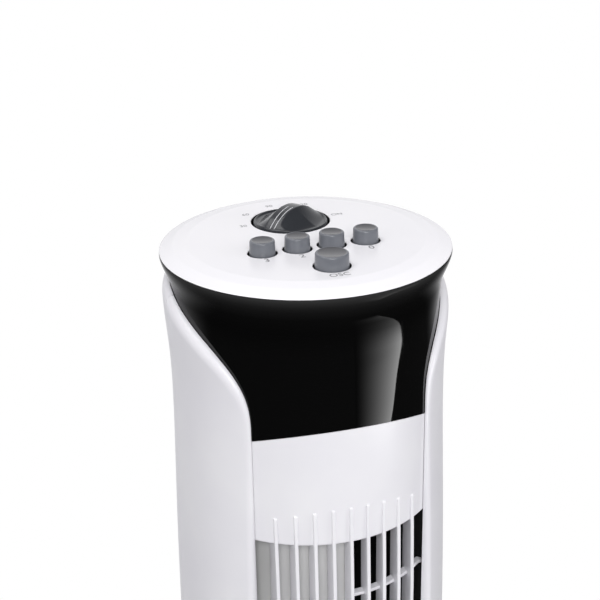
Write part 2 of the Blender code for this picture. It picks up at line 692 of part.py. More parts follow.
def make_head():
    outline = [(-0.9, 85.4), (-2.4, 85.3), (-8.0, 83.15), (-12.0, 81.5), (-16.0, 80.15), (-23.0, 79.0),
               (-36.0, 78.4), (-50.0, 78.6)]
    rows = len(outline)

    def place(u, v):
        bearing = 360.0 * u - 180.0
        row = rows - round(v * rows)
        if row < rows:
            height, radius = outline[row]
            return on_bearing(radius * MM, bearing, RIM + height * MM)
        foot = PANEL_RADIUS if abs(bearing) < 46.0 else HEAD_TUCK
        return on_bearing(foot, bearing, panel_top(bearing))

    curved_sheet("head_shell", 36, rows, place, 2.0 * MM, BLACK_GLOSS, wraps=True)

    face = RIM + COVER_RISE
    under = face - 2.5 * MM
    lip = RIM - 0.2 * MM
    spigot_foot = RIM - 1.5 * MM
    cover_profile = [(0.0, face), (COVER_FLAT, face), (77.0 * MM, RIM + 3.0 * MM),
                     (84.3 * MM, RIM + 0.3 * MM), (COVER_RADIUS, lip), (COVER_SPIGOT, lip),
                     (COVER_SPIGOT, spigot_foot), (81.6 * MM, spigot_foot), (75.0 * MM, under), (0.0, under)]
    cover = turned("top_cover", cover_profile, WHITE, steps=40)
    cut(cover, joined("cover_holes", control_holes(SPEED_HOLE, OSC_HOLE, KNOB_WELL), WHITE))

    deck_bottom = RIM + DECK_UNDER
    deck = disc("control_deck", 75.5 * MM, deck_bottom, deck_bottom + DECK_THICKNESS, DUCT_BLACK,
                steps=ROUND_STEPS)
    cut(deck, joined("deck_holes", control_holes(STEM_BORE, STEM_BORE, 4.0 * MM, 10), DUCT_BLACK))


def speed_positions():
    """Places of the speed buttons from the 0 button on the right to the 3 button on the left."""
    return [(SPEED_PITCH * (1.5 - index), SPEED_Y) for index in range(4)]


def control_holes(speed, osc, knob, steps=20):
    low = RIM - 60 * MM
    high = RIM + 30 * MM
    holes = [disc("knob_well", knob, low, high, WHITE, (0.0, KNOB_Y), 2 * steps, CUTTERS),
             disc("osc_hole", osc, low, high, WHITE, (0.0, OSC_Y), steps, CUTTERS)]
    for index, spot in enumerate(speed_positions()):
        holes.append(disc(f"speed_hole_{index}", speed, low, high, WHITE, spot, steps, CUTTERS))
    bpy.context.view_layer.update()
    return holes


def make_button(name, centre, radius, steps):
    cap = [(0.0, RIM + CAP_TOP), (radius - 1.5 * MM, RIM + CAP_TOP), (radius, RIM + CAP_TOP - 1.5 * MM),
           (radius, RIM + CAP_BOTTOM), (0.0, RIM + CAP_BOTTOM)]
    turned(f"{name}_cap", cap, BUTTON_GREY, centre, steps)
    disc(f"{name}_stem", STEM_RADIUS, RIM - 24 * MM, RIM + CAP_BOTTOM - GAP, DUCT_BLACK, centre, 8)


def make_controls():
    under = RIM + DECK_UNDER - GAP
    for index, spot in enumerate(speed_positions()):
        make_button(f"button_{index}", spot, SPEED_CAP, 20)
    make_button("osc_button", (0.0, OSC_Y), OSC_CAP, 18)

    switches = block("switch_block", (-44 * MM, SPEED_Y - 8 * MM, RIM + SWITCH_FOOT),
                     (44 * MM, SPEED_Y + 8 * MM, under), DUCT_BLACK)
    wells = [disc(f"well_{index}", STEM_BORE, RIM + WELL_FOOT, RIM, DUCT_BLACK, spot, 10, CUTTERS)
             for index, spot in enumerate(speed_positions())]
    bpy.context.view_layer.update()
    cut(switches, joined("switch_wells", wells, DUCT_BLACK))
    osc_switch = block("osc_switch", (-10 * MM, OSC_Y - 9 * MM, RIM + SWITCH_FOOT),
                       (10 * MM, OSC_Y + 9 * MM, under), DUCT_BLACK)
    cut(osc_switch, disc("osc_well", STEM_BORE, RIM + WELL_FOOT, RIM, DUCT_BLACK, (0.0, OSC_Y), 10, CUTTERS))

    timer = disc("timer_body", 19 * MM, RIM - 42 * MM, under, STEEL, (0.0, KNOB_Y), 18)
    cut(timer, disc("timer_well", SHAFT_BORE, RIM - 25 * MM, RIM, STEEL, (0.0, KNOB_Y), 14, CUTTERS))
    disc("timer_shaft", SHAFT_RADIUS, RIM - 24.5 * MM, RIM - 9.3 * MM, STEEL, (0.0, KNOB_Y), 14)
    knob_profile = [(0.0, RIM + 5.0 * MM), (17 * MM, RIM + 4.2 * MM), (21.5 * MM, RIM + 5.0 * MM),
                    (KNOB_RADIUS, RIM + 4.2 * MM), (KNOB_RADIUS, RIM - 9 * MM), (0.0, RIM - 9 * MM)]
    knob = turned("timer_knob", knob_profile, KNOB_GREY, (0.0, KNOB_Y))
    half = KNOB_RADIUS - 1.5 * MM
    ridge = block("knob_ridge", (-RIDGE_WIDTH / 2, -half, RIM), (RIDGE_WIDTH / 2, half, RIM + RIDGE_TOP),
                  KNOB_GREY, CUTTERS)
    sag = RIDGE_TOP - COVER_RISE
    crown_radius = (half ** 2 + sag ** 2) / (2 * sag)
    crown = disc("knob_crown", crown_radius, -RIDGE_WIDTH, RIDGE_WIDTH, KNOB_GREY, steps=48,
                 collection=CUTTERS)
    crown.rotation_euler = (0.0, pi / 2, 0.0)
    crown.location = (0.0, 0.0, RIM + RIDGE_TOP - crown_radius)
    boolean(ridge, crown, "INTERSECT")
    for piece in (ridge, crown):
        piece.hide_render = True
        piece.display_type = "WIRE"
    bpy.context.view_layer.update()
    grip = joined("knob_grip", [ridge], KNOB_GREY)
    bpy.data.objects.remove(crown, do_unlink=True)
    grip.location = (0.0, KNOB_Y, 0.0)
    grip.rotation_euler = (0.0, 0.0, radians(POINTER_BEARING))
    weld_on(knob, grip)


def make_wiring():
    """Loom from the motor up to the control deck, in the corner behind the tongue."""
    curve = bpy.data.curves.new("wiring_harness", "CURVE")
    curve.dimensions = "3D"
    curve.bevel_depth = 2.5 * MM
    curve.bevel_resolution = 2
    curve.use_fill_caps = True
    spline = curve.splines.new("POLY")
    top = RIM - 45 * MM
    bottom = DUCT_TOP + PLATE_THICKNESS + 10 * MM
    count = 12
    spline.points.add(count - 1)
    for index in range(count):
        share = index / (count - 1)
        height = bottom + (top - bottom) * share
        spline.points[index].co = (-40 * MM + 6 * MM * sin(pi * share), -5 * MM, height, 1.0)
    loom = bpy.data.objects.new("wiring_harness", curve)
    curve.materials.append(RUBBER)
    FAN.objects.link(loom)


make_base()
make_oscillator()
make_casing()
make_front_grille()
make_wheel()
make_motor()
make_duct()
make_head()
make_controls()
make_wiring()
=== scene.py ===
"""Tower fan: the finished surfaces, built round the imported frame.

Metres, +Z up; the outlet faces -Y. A bearing is an angle in degrees about the tower's axis,
0 at the front and positive towards +X.
"""

import json
from math import cos, exp, pi, radians, sin, sqrt

import bmesh
import bpy
import numpy as np
from mathutils import Matrix, Vector


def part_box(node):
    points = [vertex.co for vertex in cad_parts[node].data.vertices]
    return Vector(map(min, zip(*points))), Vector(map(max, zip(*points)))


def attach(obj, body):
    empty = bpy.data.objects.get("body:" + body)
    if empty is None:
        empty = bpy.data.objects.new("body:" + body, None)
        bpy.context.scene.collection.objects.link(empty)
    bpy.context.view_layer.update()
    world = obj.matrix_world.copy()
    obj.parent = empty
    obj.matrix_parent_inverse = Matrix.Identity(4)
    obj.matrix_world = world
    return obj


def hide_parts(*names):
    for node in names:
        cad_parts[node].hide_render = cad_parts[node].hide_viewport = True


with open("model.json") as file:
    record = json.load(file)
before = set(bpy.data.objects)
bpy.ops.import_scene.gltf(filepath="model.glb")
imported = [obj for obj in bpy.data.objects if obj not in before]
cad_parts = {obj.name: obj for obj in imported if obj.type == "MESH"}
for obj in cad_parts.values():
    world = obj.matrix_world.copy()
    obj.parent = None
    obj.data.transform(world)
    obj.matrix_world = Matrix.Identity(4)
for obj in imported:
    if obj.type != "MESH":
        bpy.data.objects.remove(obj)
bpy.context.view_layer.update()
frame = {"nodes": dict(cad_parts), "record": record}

MM = 0.001

# Levels and sizes read from the frame
COVER_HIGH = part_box("top_cover")[1]
FACE = COVER_HIGH.z
COVER_RISE = 4.2 * MM
RIM = FACE - COVER_RISE
COVER_RADIUS = COVER_HIGH.x
TOWER_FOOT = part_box("side_wing_left")[0].z
BASE_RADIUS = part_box("base_shell")[1].x
PANEL_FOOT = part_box("front_grille")[0].z

# Casing: a window in front, swept top edges, seams at the sides
WALL = 1.9 * MM
CASING_RADIUS = 85.0 * MM
EDGE_RADIUS = 83.0 * MM
WINDOW_EDGE = 40.6
SEAM = 90.0
SEAM_GAP = 0.12
LIP_GAP = 0.3 * MM
LIP_HEIGHT = 0.45 * MM
SWOOSH_DROP = 88.5 * MM
SWOOSH_RISE = 67.0 * MM
SWOOSH_POWER = 0.34
SWOOSH_SOFTENING = 6.0 * MM
CASING_DROP = 15.0 * MM

# Front panel and black head
PANEL_RADIUS = 79.5 * MM
PANEL_WALL = 2.0 * MM
PANEL_LAP = 51.5
PANEL_LIP = 1.4 * MM
PANEL_SEAM = 0.25 * MM
PANEL_DROP = 81.65 * MM
PANEL_SAG = 8.5 * MM
HEAD_GAP = 0.5 * MM
HEAD_TUCK = 1.3 * MM
OUTLET_TOP = RIM - 155.4 * MM
OUTLET_BOTTOM = 196.0 * MM

# Grille
FIN_PITCH = 10.4 * MM
FIN_COUNT = 9
FIN_THICKNESS = 2.1 * MM
FIN_START = 80.3 * MM
FIN_FRONT = 82.5 * MM
FIN_ROOT = 78.2 * MM
FIN_BACK = 70.5 * MM
FIN_REACH = 23.5 * MM
FIN_ARCH = 5.8 * MM
FIN_RUN = 36.0 * MM
FIN_CHAMFER = 4.0 * MM
FIN_EDGE = 0.45 * MM
CROSSBAR_PITCH = 39.0 * MM
CROSSBAR_BACK = 71.6 * MM
CROSSBAR_DEPTH = 4.9 * MM
CROSSBAR_STEP = 2.0 * MM
CROSSBAR_END = 45.0
CROSSBAR_HALF = 1.0 * MM
BACKING_RADIUS = 69.0 * MM
BACKING_EDGE = 46.0
BACKING_SPAN = 46.8
BACKING_HALF = 0.8 * MM

# Controls
SPEED_HOLE = 8.6 * MM
OSC_HOLE = 10.7 * MM
KNOB_WELL = 23.7 * MM
WELL_EDGE = 0.45 * MM
COVER_WALL = 2.5 * MM
POINTER_BEARING = -52.0
GRIP_REACH = 21.8 * MM
GRIP_CREST = 9.4 * MM
GRIP_HALF = 4.2 * MM
PRINT_RING = 29.5 * MM

# Intake grilles in the back
INTAKE_BOTTOM = 199.0 * MM
INTAKE_TOP = 631.0 * MM
INTAKE_STEP = 40.0
INTAKE_HALF = 18.9
INTAKE_GAP = 0.2
INTAKE_RAIL = 9.0 * MM
SLOT_ROWS = 7
SLOT_COLUMNS = 5
SLOT_OPEN = 5.6 * MM
SLOT_STEP = 8.2 * MM
SLOT_CORNER = 2.2 * MM


# ---------------------------------------------------------------- small tools

def spline(stations):
    """Natural cubic through (key, value) stations in rising order of key."""
    keys = np.array([key for key, value in stations], float)
    values = np.array([value for key, value in stations], float)
    count = len(keys)
    step = np.diff(keys)
    system = np.eye(count)
    right = np.zeros(count)
    for k in range(1, count - 1):
        system[k, k - 1:k + 2] = step[k - 1], 2 * (step[k - 1] + step[k]), step[k]
        right[k] = 6 * ((values[k + 1] - values[k]) / step[k] - (values[k] - values[k - 1]) / step[k - 1])
    bend = np.linalg.solve(system, right)

    def value_at(key):
        key = min(max(key, keys[0]), keys[-1])
        k = int(min(max(np.searchsorted(keys, key) - 1, 0), count - 2))
        left = (keys[k + 1] - key) / step[k]
        rest = 1.0 - left
        smooth = (left ** 3 - left) * bend[k] + (rest ** 3 - rest) * bend[k + 1]
        return left * values[k] + rest * values[k + 1] + smooth * step[k] ** 2 / 6

    return value_at


def ease(low, high, value):
    """0 below low, 1 above high, smooth between."""
    share = min(max((value - low) / (high - low), 0.0), 1.0)
    return share * share * (3 - 2 * share)


def on_bearing(radius, bearing, height=0.0):
    angle = radians(bearing)
    return Vector((radius * sin(angle), -radius * cos(angle), height))


def finish_mesh(mesh, angle=40.0):
    mesh.validate()
    mesh.shade_smooth()
    mesh.set_sharp_from_angle(angle=radians(angle))


def mesh_of(name, shape):
    """Mesh from a finished bmesh, which is then freed."""
    mesh = bpy.data.meshes.new(name)
    shape.to_mesh(mesh)
    shape.free()
    return mesh


def place(name, mesh, material, body, replaced=()):
    """Link a finished piece, ride it on its body and hide the frame nodes it stands for."""
    piece = bpy.data.objects.new(name, mesh)
    mesh.materials.clear()
    mesh.materials.append(material)
    bpy.context.scene.collection.objects.link(piece)
    settle(piece, body, replaced)
    return piece


def settle(piece, body, replaced=()):
    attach(piece, body)
    if replaced:
        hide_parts(*replaced)


def wall_mesh(name, outer, inner, columns, rows, wraps=False):
    """Closed wall between two surfaces, each a function of a share across and a share up."""
    across = columns if wraps else columns + 1
    points = []
    for surface in (outer, inner):
        for row in range(rows + 1):
            points.extend(surface(column / columns, row / rows) for column in range(across))

    def index(side, column, row):
        return side * across * (rows + 1) + row * across + column % across

    faces = []
    for row in range(rows):
        for column in range(columns):
            a = (column, row)
            b = (column + 1, row)
            c = (column + 1, row + 1)
            d = (column, row + 1)
            faces.append([index(0, *corner) for corner in (a, b, c, d)])
            faces.append([index(1, *corner) for corner in (d, c, b, a)])
    for column in range(columns):
        faces.append([index(1, column, 0), index(1, column + 1, 0), index(0, column + 1, 0),
                      index(0, column, 0)])
        faces.append([index(0, column, rows), index(0, column + 1, rows), index(1, column + 1, rows),
                      index(1, column, rows)])
    if not wraps:
        for row in range(rows):
            faces.append([index(0, 0, row), index(0, 0, row + 1), index(1, 0, row + 1), index(1, 0, row)])
            faces.append([index(1, columns, row), index(1, columns, row + 1), index(0, columns, row + 1),
                          index(0, columns, row)])
    mesh = bpy.data.meshes.new(name)
    mesh.from_pydata(points, [], faces)
    finish_mesh(mesh)
    return mesh


def turned_mesh(name, profile, centre=(0.0, 0.0), steps=96, angle=40.0):
    """Turn (radius, height) points, listed down the outer side, about an upright axis."""
    shape = bmesh.new()
    points = [shape.verts.new((radius, 0.0, height)) for radius, height in profile]
    edges = [shape.edges.new(pair) for pair in zip(points, points[1:])]
    if profile[0][0] > 0.0:
        edges.append(shape.edges.new((points[-1], points[0])))
    bmesh.ops.spin(shape, geom=points + edges, axis=(0, 0, 1), cent=(0, 0, 0), angle=2 * pi, steps=steps,
                   use_merge=True)
    bmesh.ops.remove_doubles(shape, verts=shape.verts, dist=1e-7)
    bmesh.ops.recalc_face_normals(shape, faces=shape.faces)
    bmesh.ops.translate(shape, verts=shape.verts, vec=(centre[0], centre[1], 0.0))
    mesh = mesh_of(name, shape)
    finish_mesh(mesh, angle)
    return mesh


def rounded(corners, segments=5):
    """Profile whose corners, given as (radius, height, fillet), are replaced by short arcs."""
    points = []
    for k, (radius, height, fillet) in enumerate(corners):
        if not fillet or k in (0, len(corners) - 1):
            points.append((radius, height))
            continue
        here = Vector((radius, height))
        back = (Vector(corners[k - 1][:2]) - here).normalized()
        ahead = (Vector(corners[k + 1][:2]) - here).normalized()
        half = back.angle(ahead) / 2
        reach = fillet / np.tan(half)
        centre = here + (back + ahead).normalized() * (fillet / sin(half))
        start = here + back * reach - centre
        end = here + ahead * reach - centre
        sweep = start.angle_signed(end)
        for step in range(segments + 1):
            turned = start.copy()
            turned.rotate(Matrix.Rotation(-sweep * step / segments, 2))
            points.append(tuple(centre + turned))
    return points


def cut_holes(piece, cutters):
    """Take the cutters out of a piece and remove them."""
    for cutter in cutters:
        modifier = piece.modifiers.new("hole", "BOOLEAN")
        modifier.object = cutter
        modifier.solver = "EXACT"
    graph = bpy.context.evaluated_depsgraph_get()
    mesh = bpy.data.meshes.new_from_object(piece.evaluated_get(graph))
    piece.modifiers.clear()
    piece.data = mesh
    for cutter in cutters:
        bpy.data.objects.remove(cutter)
    mesh.shade_smooth()
    mesh.set_sharp_from_angle(angle=radians(40.0))
    weighted = piece.modifiers.new("flat_faces", "WEIGHTED_NORMAL")
    weighted.keep_sharp = True
    weighted.weight = 90


def loose(name, mesh):
    """Object that is no piece of the fan: a cutter, or something of the studio."""
    helper = bpy.data.objects.new(name, mesh)
    bpy.context.scene.collection.objects.link(helper)
    return helper


# ---------------------------------------------------------------- materials

GRAIN_DEPTH = 0.02 * MM


def principled(name, colour, roughness):
    material = bpy.data.materials.new(name)
    material.use_nodes = True
    tree = material.node_tree
    shader = tree.nodes["Principled BSDF"]
    shader.inputs["Base Color"].default_value = (*colour, 1.0)
    shader.inputs["Roughness"].default_value = roughness
    return material, tree, shader


def noise(tree, scale, detail=2.0, stretch=(1.0, 1.0, 1.0)):
    place_node = tree.nodes.new("ShaderNodeTexCoord")
    mapping = tree.nodes.new("ShaderNodeMapping")
    mapping.inputs["Scale"].default_value = stretch
    texture = tree.nodes.new("ShaderNodeTexNoise")
    texture.inputs["Scale"].default_value = scale
    texture.inputs["Detail"].default_value = detail
    tree.links.new(place_node.outputs["Object"], mapping.inputs["Vector"])
    tree.links.new(mapping.outputs["Vector"], texture.inputs["Vector"])
    return texture


def spread(tree, source, low, high):
    """Map a 0-1 texture onto a range."""
    remap = tree.nodes.new("ShaderNodeMapRange")
    remap.inputs["To Min"].default_value = low
    remap.inputs["To Max"].default_value = high
    tree.links.new(source, remap.inputs["Value"])
    return remap.outputs["Result"]


def tint(tree, source, dark, light):
    ramp = tree.nodes.new("ShaderNodeValToRGB")
    ramp.color_ramp.elements[0].color = (*dark, 1.0)
    ramp.color_ramp.elements[1].color = (*light, 1.0)
    ramp.color_ramp.elements[0].position = 0.3
    ramp.color_ramp.elements[1].position = 0.7
    tree.links.new(source, ramp.inputs["Fac"])
    return ramp.outputs["Color"]


def bump(tree, shader, source, strength, distance):
    node = tree.nodes.new("ShaderNodeBump")
    node.inputs["Strength"].default_value = strength
    node.inputs["Distance"].default_value = distance
    tree.links.new(source, node.inputs["Height"])
    tree.links.new(node.outputs["Normal"], shader.inputs["Normal"])


def moulded(name, dark, light, gloss, grain_scale=2200.0, grain=0.15):
    """Injection-moulded plastic: faint cloudiness in colour, uneven gloss and a fine surface grain."""
    material, tree, shader = principled(name, light, gloss[0])
    cloud = noise(tree, 14.0, 3.0)
    tree.links.new(tint(tree, cloud.outputs["Fac"], dark, light), shader.inputs["Base Color"])
    worn = noise(tree, 60.0, 4.0)
    tree.links.new(spread(tree, worn.outputs["Fac"], *gloss), shader.inputs["Roughness"])
    fine = noise(tree, grain_scale, 1.0)
    bump(tree, shader, fine.outputs["Fac"], grain, GRAIN_DEPTH)
    return material


def by_height(tree, stations):
    """Ramp of grey levels over the drop below the rim, in millimetres from the lowest station up."""
    spot = tree.nodes.new("ShaderNodeTexCoord")
    split = tree.nodes.new("ShaderNodeSeparateXYZ")
    share = tree.nodes.new("ShaderNodeMapRange")
    share.inputs["From Min"].default_value = RIM + stations[0][0] * MM
    share.inputs["From Max"].default_value = RIM + stations[-1][0] * MM
    ramp = tree.nodes.new("ShaderNodeValToRGB")
    points = ramp.color_ramp.elements
    while len(points) < len(stations):
        points.new(0.5)
    for point, (height, level) in zip(points, stations):
        point.position = (height - stations[0][0]) / (stations[-1][0] - stations[0][0])
    for point, (height, level) in zip(points, stations):
        point.color = (level, level, level, 1.0)
    tree.links.new(spot.outputs["Object"], split.inputs["Vector"])
    tree.links.new(split.outputs["Z"], share.inputs["Value"])
    tree.links.new(share.outputs["Result"], ramp.inputs["Fac"])
    return ramp.outputs["Color"]


def piano_black():
    """Polished black with a trace of uneven gloss; its colour is painted lighter grey towards the rim as a
    painted reflection.
    """
    material, tree, shader = principled("piano_black", (0.0025, 0.0025, 0.0026), 0.03)
    # Painted reflection: the base colour greys towards the rim, standing in for the bright surroundings that
    # the flare reflects.
    painted_rim_reflection = [(-22, 0.0024), (-14, 0.0035), (-8.5, 0.0075), (-5.5, 0.012), (-0.5, 0.03)]
    tree.links.new(by_height(tree, painted_rim_reflection), shader.inputs["Base Color"])
    gloss = [(-37, 0.45), (-33, 0.34), (-29, 0.20), (-25, 0.09), (-20, 0.03)]
    tree.links.new(by_height(tree, gloss), shader.inputs["Specular IOR Level"])
    worn = noise(tree, 60.0, 4.0)
    tree.links.new(spread(tree, worn.outputs["Fac"], 0.02, 0.05), shader.inputs["Roughness"])
    return material


WHITE = moulded("white_shell", (0.80, 0.79, 0.83), (0.86, 0.855, 0.875), (0.26, 0.36), grain=0.05)
COVER_WHITE = moulded("white_cover", (0.835, 0.825, 0.855), (0.86, 0.85, 0.87), (0.25, 0.28), grain=0.01)
GLOSS = piano_black()
KNOB_DARK = moulded("knob_dark_grey", (0.024, 0.026, 0.030), (0.034, 0.036, 0.041), (0.14, 0.22),
                    1500.0, 0.15)
POINTER = moulded("pointer_silver", (0.55, 0.55, 0.58), (0.70, 0.70, 0.72), (0.25, 0.35))
BUTTON = moulded("button_grey", (0.135, 0.142, 0.160), (0.165, 0.173, 0.192), (0.16, 0.26), 1500.0, 0.1)
# Painted shade: a darker grey for the button tops, standing in for the dark reflection they show.
BUTTON_TOP_SHADE = moulded("button_top_painted_shade", (0.062, 0.062, 0.068), (0.080, 0.079, 0.086), (0.12, 0.18),
                     1500.0, 0.1)
BACKING = moulded("backing_grey", (0.56, 0.56, 0.555), (0.63, 0.63, 0.625), (0.42, 0.55))
# Matt black for the black inner parts. It is also laid as painted shade on white parts' hidden faces and
# hole walls.
BLACK_AND_PAINTED_SHADE = moulded("black_and_painted_shade", (0.004, 0.004, 0.0045), (0.008, 0.008, 0.009), (0.5, 0.7), 900.0, 0.4)
RUBBER = moulded("soft_rubber", (0.012, 0.012, 0.012), (0.022, 0.022, 0.022), (0.75, 0.9), 700.0, 0.6)
INK = moulded("grey_print", (0.16, 0.16, 0.17), (0.22, 0.22, 0.23), (0.45, 0.6))


def brushed_steel(name, colour, roughness):
    """Plated steel with fine drawn lines."""
    material, tree, shader = principled(name, colour, roughness)
    shader.inputs["Metallic"].default_value = 1.0
    lines = noise(tree, 260.0, 3.0, (1.0, 1.0, 14.0))
    tree.links.new(spread(tree, lines.outputs["Fac"], roughness - 0.08, roughness + 0.12),
                   shader.inputs["Roughness"])
    bump(tree, shader, lines.outputs["Fac"], 0.2, GRAIN_DEPTH)
    return material


def copper_wire():
    """Enamelled winding: close turns seen as fine bands."""
    material, tree, shader = principled("enamelled_copper", (0.55, 0.22, 0.09), 0.3)
    shader.inputs["Metallic"].default_value = 1.0
    turns = noise(tree, 900.0, 1.0, (1.0, 1.0, 6.0))
    tree.links.new(tint(tree, turns.outputs["Fac"], (0.35, 0.12, 0.05), (0.65, 0.28, 0.12)),
                   shader.inputs["Base Color"])
    bump(tree, shader, turns.outputs["Fac"], 0.6, 0.1 * MM)
    return material


STEEL = brushed_steel("plated_steel", (0.58, 0.58, 0.60), 0.30)
COPPER = copper_wire()

NODE_MATERIALS = {"rubber": RUBBER, "steel": STEEL, "copper_winding": COPPER,
                  "black_matt_plastic": BLACK_AND_PAINTED_SHADE, "light_grey_plastic": BACKING,
                  "white_plastic": WHITE, "mid_grey_plastic": BUTTON,
                  "dark_grey_plastic": KNOB_DARK, "black_gloss_plastic": GLOSS}


def dress_frame():
    """Give every frame node the finished material of its slot."""
    for row in frame["record"]["subparts"]:
        node = frame["nodes"][row["node"]]
        node.data.materials.clear()
        node.data.materials.append(NODE_MATERIALS[row["material_slot"]])


# ---------------------------------------------------------------- casing outline

def rim_curve(stations):
    """Radius over height, from (drop below the rim, radius) stations in millimetres."""
    return spline([(RIM - drop * MM, radius * MM) for drop, radius in stations])


casing_curve = rim_curve([(745, 85.0), (420, 85.0), (228, 84.8), (168, 83.7), (126, 82.55), (92, 81.85),
                          (60, 82.4), (44, 83.5), (31, 84.3), (14, 84.5)])
head_curve = rim_curve([(90.5, 79.5), (81, 79.4), (66, 79.0), (50, 78.6), (36, 78.4), (25, 78.8),
                        (20, 79.3), (16, 80.15), (12, 81.5), (8, 83.15), (4, 84.6), (0.5, 85.4)])


def casing_radius(height):
    return min(casing_curve(height), CASING_RADIUS)


def casing_top(bearing):
    """Swept top edge of the white casing."""
    share = max(abs(bearing) - WINDOW_EDGE, 0.0) / (SEAM - WINDOW_EDGE)
    rise = SWOOSH_RISE * share ** SWOOSH_POWER
    limit = SWOOSH_DROP - CASING_DROP
    start = limit - SWOOSH_SOFTENING
    if rise > start:
        rise = limit - SWOOSH_SOFTENING * exp(-(rise - start) / SWOOSH_SOFTENING)
    return RIM - SWOOSH_DROP + rise


def edge_points():
    """The casing's free edge, up the outlet's side and along the sweep to the back, unrolled flat."""
    step = 5 * MM
    side_steps = int((RIM - SWOOSH_DROP - TOWER_FOOT) / step)
    sweep_steps = 600
    points = [(WINDOW_EDGE, TOWER_FOOT + k * step) for k in range(side_steps)]
    for k in range(sweep_steps + 1):
        bearing = WINDOW_EDGE + (180.0 - WINDOW_EDGE) * (k / sweep_steps) ** 3
        points.append((bearing, casing_top(bearing)))
    return np.array([(radians(bearing) * EDGE_RADIUS, height) for bearing, height in points])


EDGE = edge_points()


def edge_distance(bearing, height):
    """Distance to the casing's free edge, measured on the unrolled casing."""
    flat = np.array((radians(abs(bearing)) * EDGE_RADIUS, height))
    start = EDGE[:-1]
    run = EDGE[1:] - start
    along = ((flat - start) * run).sum(1) / np.maximum((run * run).sum(1), 1e-18)
    nearest = start + run * along.clip(0, 1)[:, None]
    return float(np.sqrt(((flat - nearest) ** 2).sum(1)).min())


def casing_surfaces(bearing_of, rise_of):
    """Outer and inner surface of a casing piece whose free edge is rolled over."""
    def levels(u, v):
        bearing = bearing_of(u)
        turned_back = bearing if bearing <= 180.0 else bearing - 360.0
        top = casing_top(turned_back)
        height = TOWER_FOOT + (top - TOWER_FOOT) * rise_of(v)
        return bearing, height, edge_distance(turned_back, height)

    def lip(height):
        """Radius that the rolled edge comes down to, a hair outside the panel or the head."""
        panel = PANEL_RADIUS if height < RIM - 85 * MM else 0.0
        return max(head_curve(height), panel) + LIP_GAP

    def outer(u, v):
        bearing, height, gap = levels(u, v)
        width = (4.6 + 2.6 * ease(RIM - 90 * MM, RIM - 30 * MM, height)) * MM
        share = min(gap / width, 1.0)
        low = lip(height) + LIP_HEIGHT
        roll = sqrt(1 - (1 - share) ** 2.2)
        return on_bearing(low + (casing_radius(height) - low) * roll, bearing, height)

    def inner(u, v):
        bearing, height, gap = levels(u, v)
        share = min(gap / (5.0 * MM), 1.0)
        flat = casing_radius(height) - WALL
        low = min(lip(height), flat)
        return on_bearing(low + (flat - low) * sqrt(1 - (1 - share) ** 2), bearing, height)

    return outer, inner


def shade_inside(piece):
    """Painted shade: the white casing's inward faces take the black material, standing in for the unlit
    inside that shows between fins and slots.
    """
    piece.data.materials.append(BLACK_AND_PAINTED_SHADE)
    facing_in = -0.5
    for face in piece.data.polygons:
        if face.normal.xy.dot(face.center.xy.normalized()) < facing_in:
            face.material_index = 1


def rise_share(v):
    """Rows crowd towards the top edge."""
    return 1.0 - (1.0 - v) ** 2.3


def make_wings():
    for side, name, node in ((-1, "wing_left", "side_wing_left"), (1, "wing_right", "side_wing_right")):
        def bearing_of(u, side=side):
            share = u if side > 0 else 1.0 - u
            return side * (WINDOW_EDGE + (SEAM - SEAM_GAP - WINDOW_EDGE) * share ** 1.8)
        outer, inner = casing_surfaces(bearing_of, rise_share)
        mesh = wall_mesh(name, outer, inner, 56, 110)
        shade_inside(place(name, mesh, WHITE, "tower", (node,)))


# ---------------------------------------------------------------- back of the casing

HANDLE_LOW, HANDLE_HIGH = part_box("handle_cup")


def soft_box(name, low, high, bearing, radius):
    """Cutter: a box with rounded corners that points at the axis."""
    shape = bmesh.new()
    add_soft_box(shape, Vector(low), Vector(high), bearing, radius)
    return loose(name, mesh_of(name, shape))


def make_back():
    def bearing_of(u):
        return SEAM + SEAM_GAP + (360.0 - 2 * SEAM - 2 * SEAM_GAP) * u
    outer, inner = casing_surfaces(bearing_of, rise_share)
    mesh = wall_mesh("back_housing", outer, inner, 90, 56)
    back = place("back_housing", mesh, WHITE, "tower", ("rear_housing",))
    cutters = [opening_cutter(index) for index in range(3)]
    inset = 2.0 * MM
    cutters.append(soft_box("handle_window", (HANDLE_LOW.x + inset, 60 * MM, HANDLE_LOW.z + inset),
                            (HANDLE_HIGH.x - inset, 100 * MM, HANDLE_HIGH.z - inset), 0.0, 6 * MM))
    cut_holes(back, cutters)
    shade_inside(back)
    make_intake_grilles()


def opening_cutter(index):
    """Tall opening in the back that an intake grille fills."""
    middle = 180.0 + INTAKE_STEP * (index - 1)

    def side(radius):
        return lambda u, v: on_bearing(radius, middle + INTAKE_HALF * (2 * u - 1),
                                       INTAKE_BOTTOM + (INTAKE_TOP - INTAKE_BOTTOM) * v)

    return loose(f"opening_{index}", wall_mesh(f"opening_{index}", side(100 * MM), side(70 * MM), 12, 1))


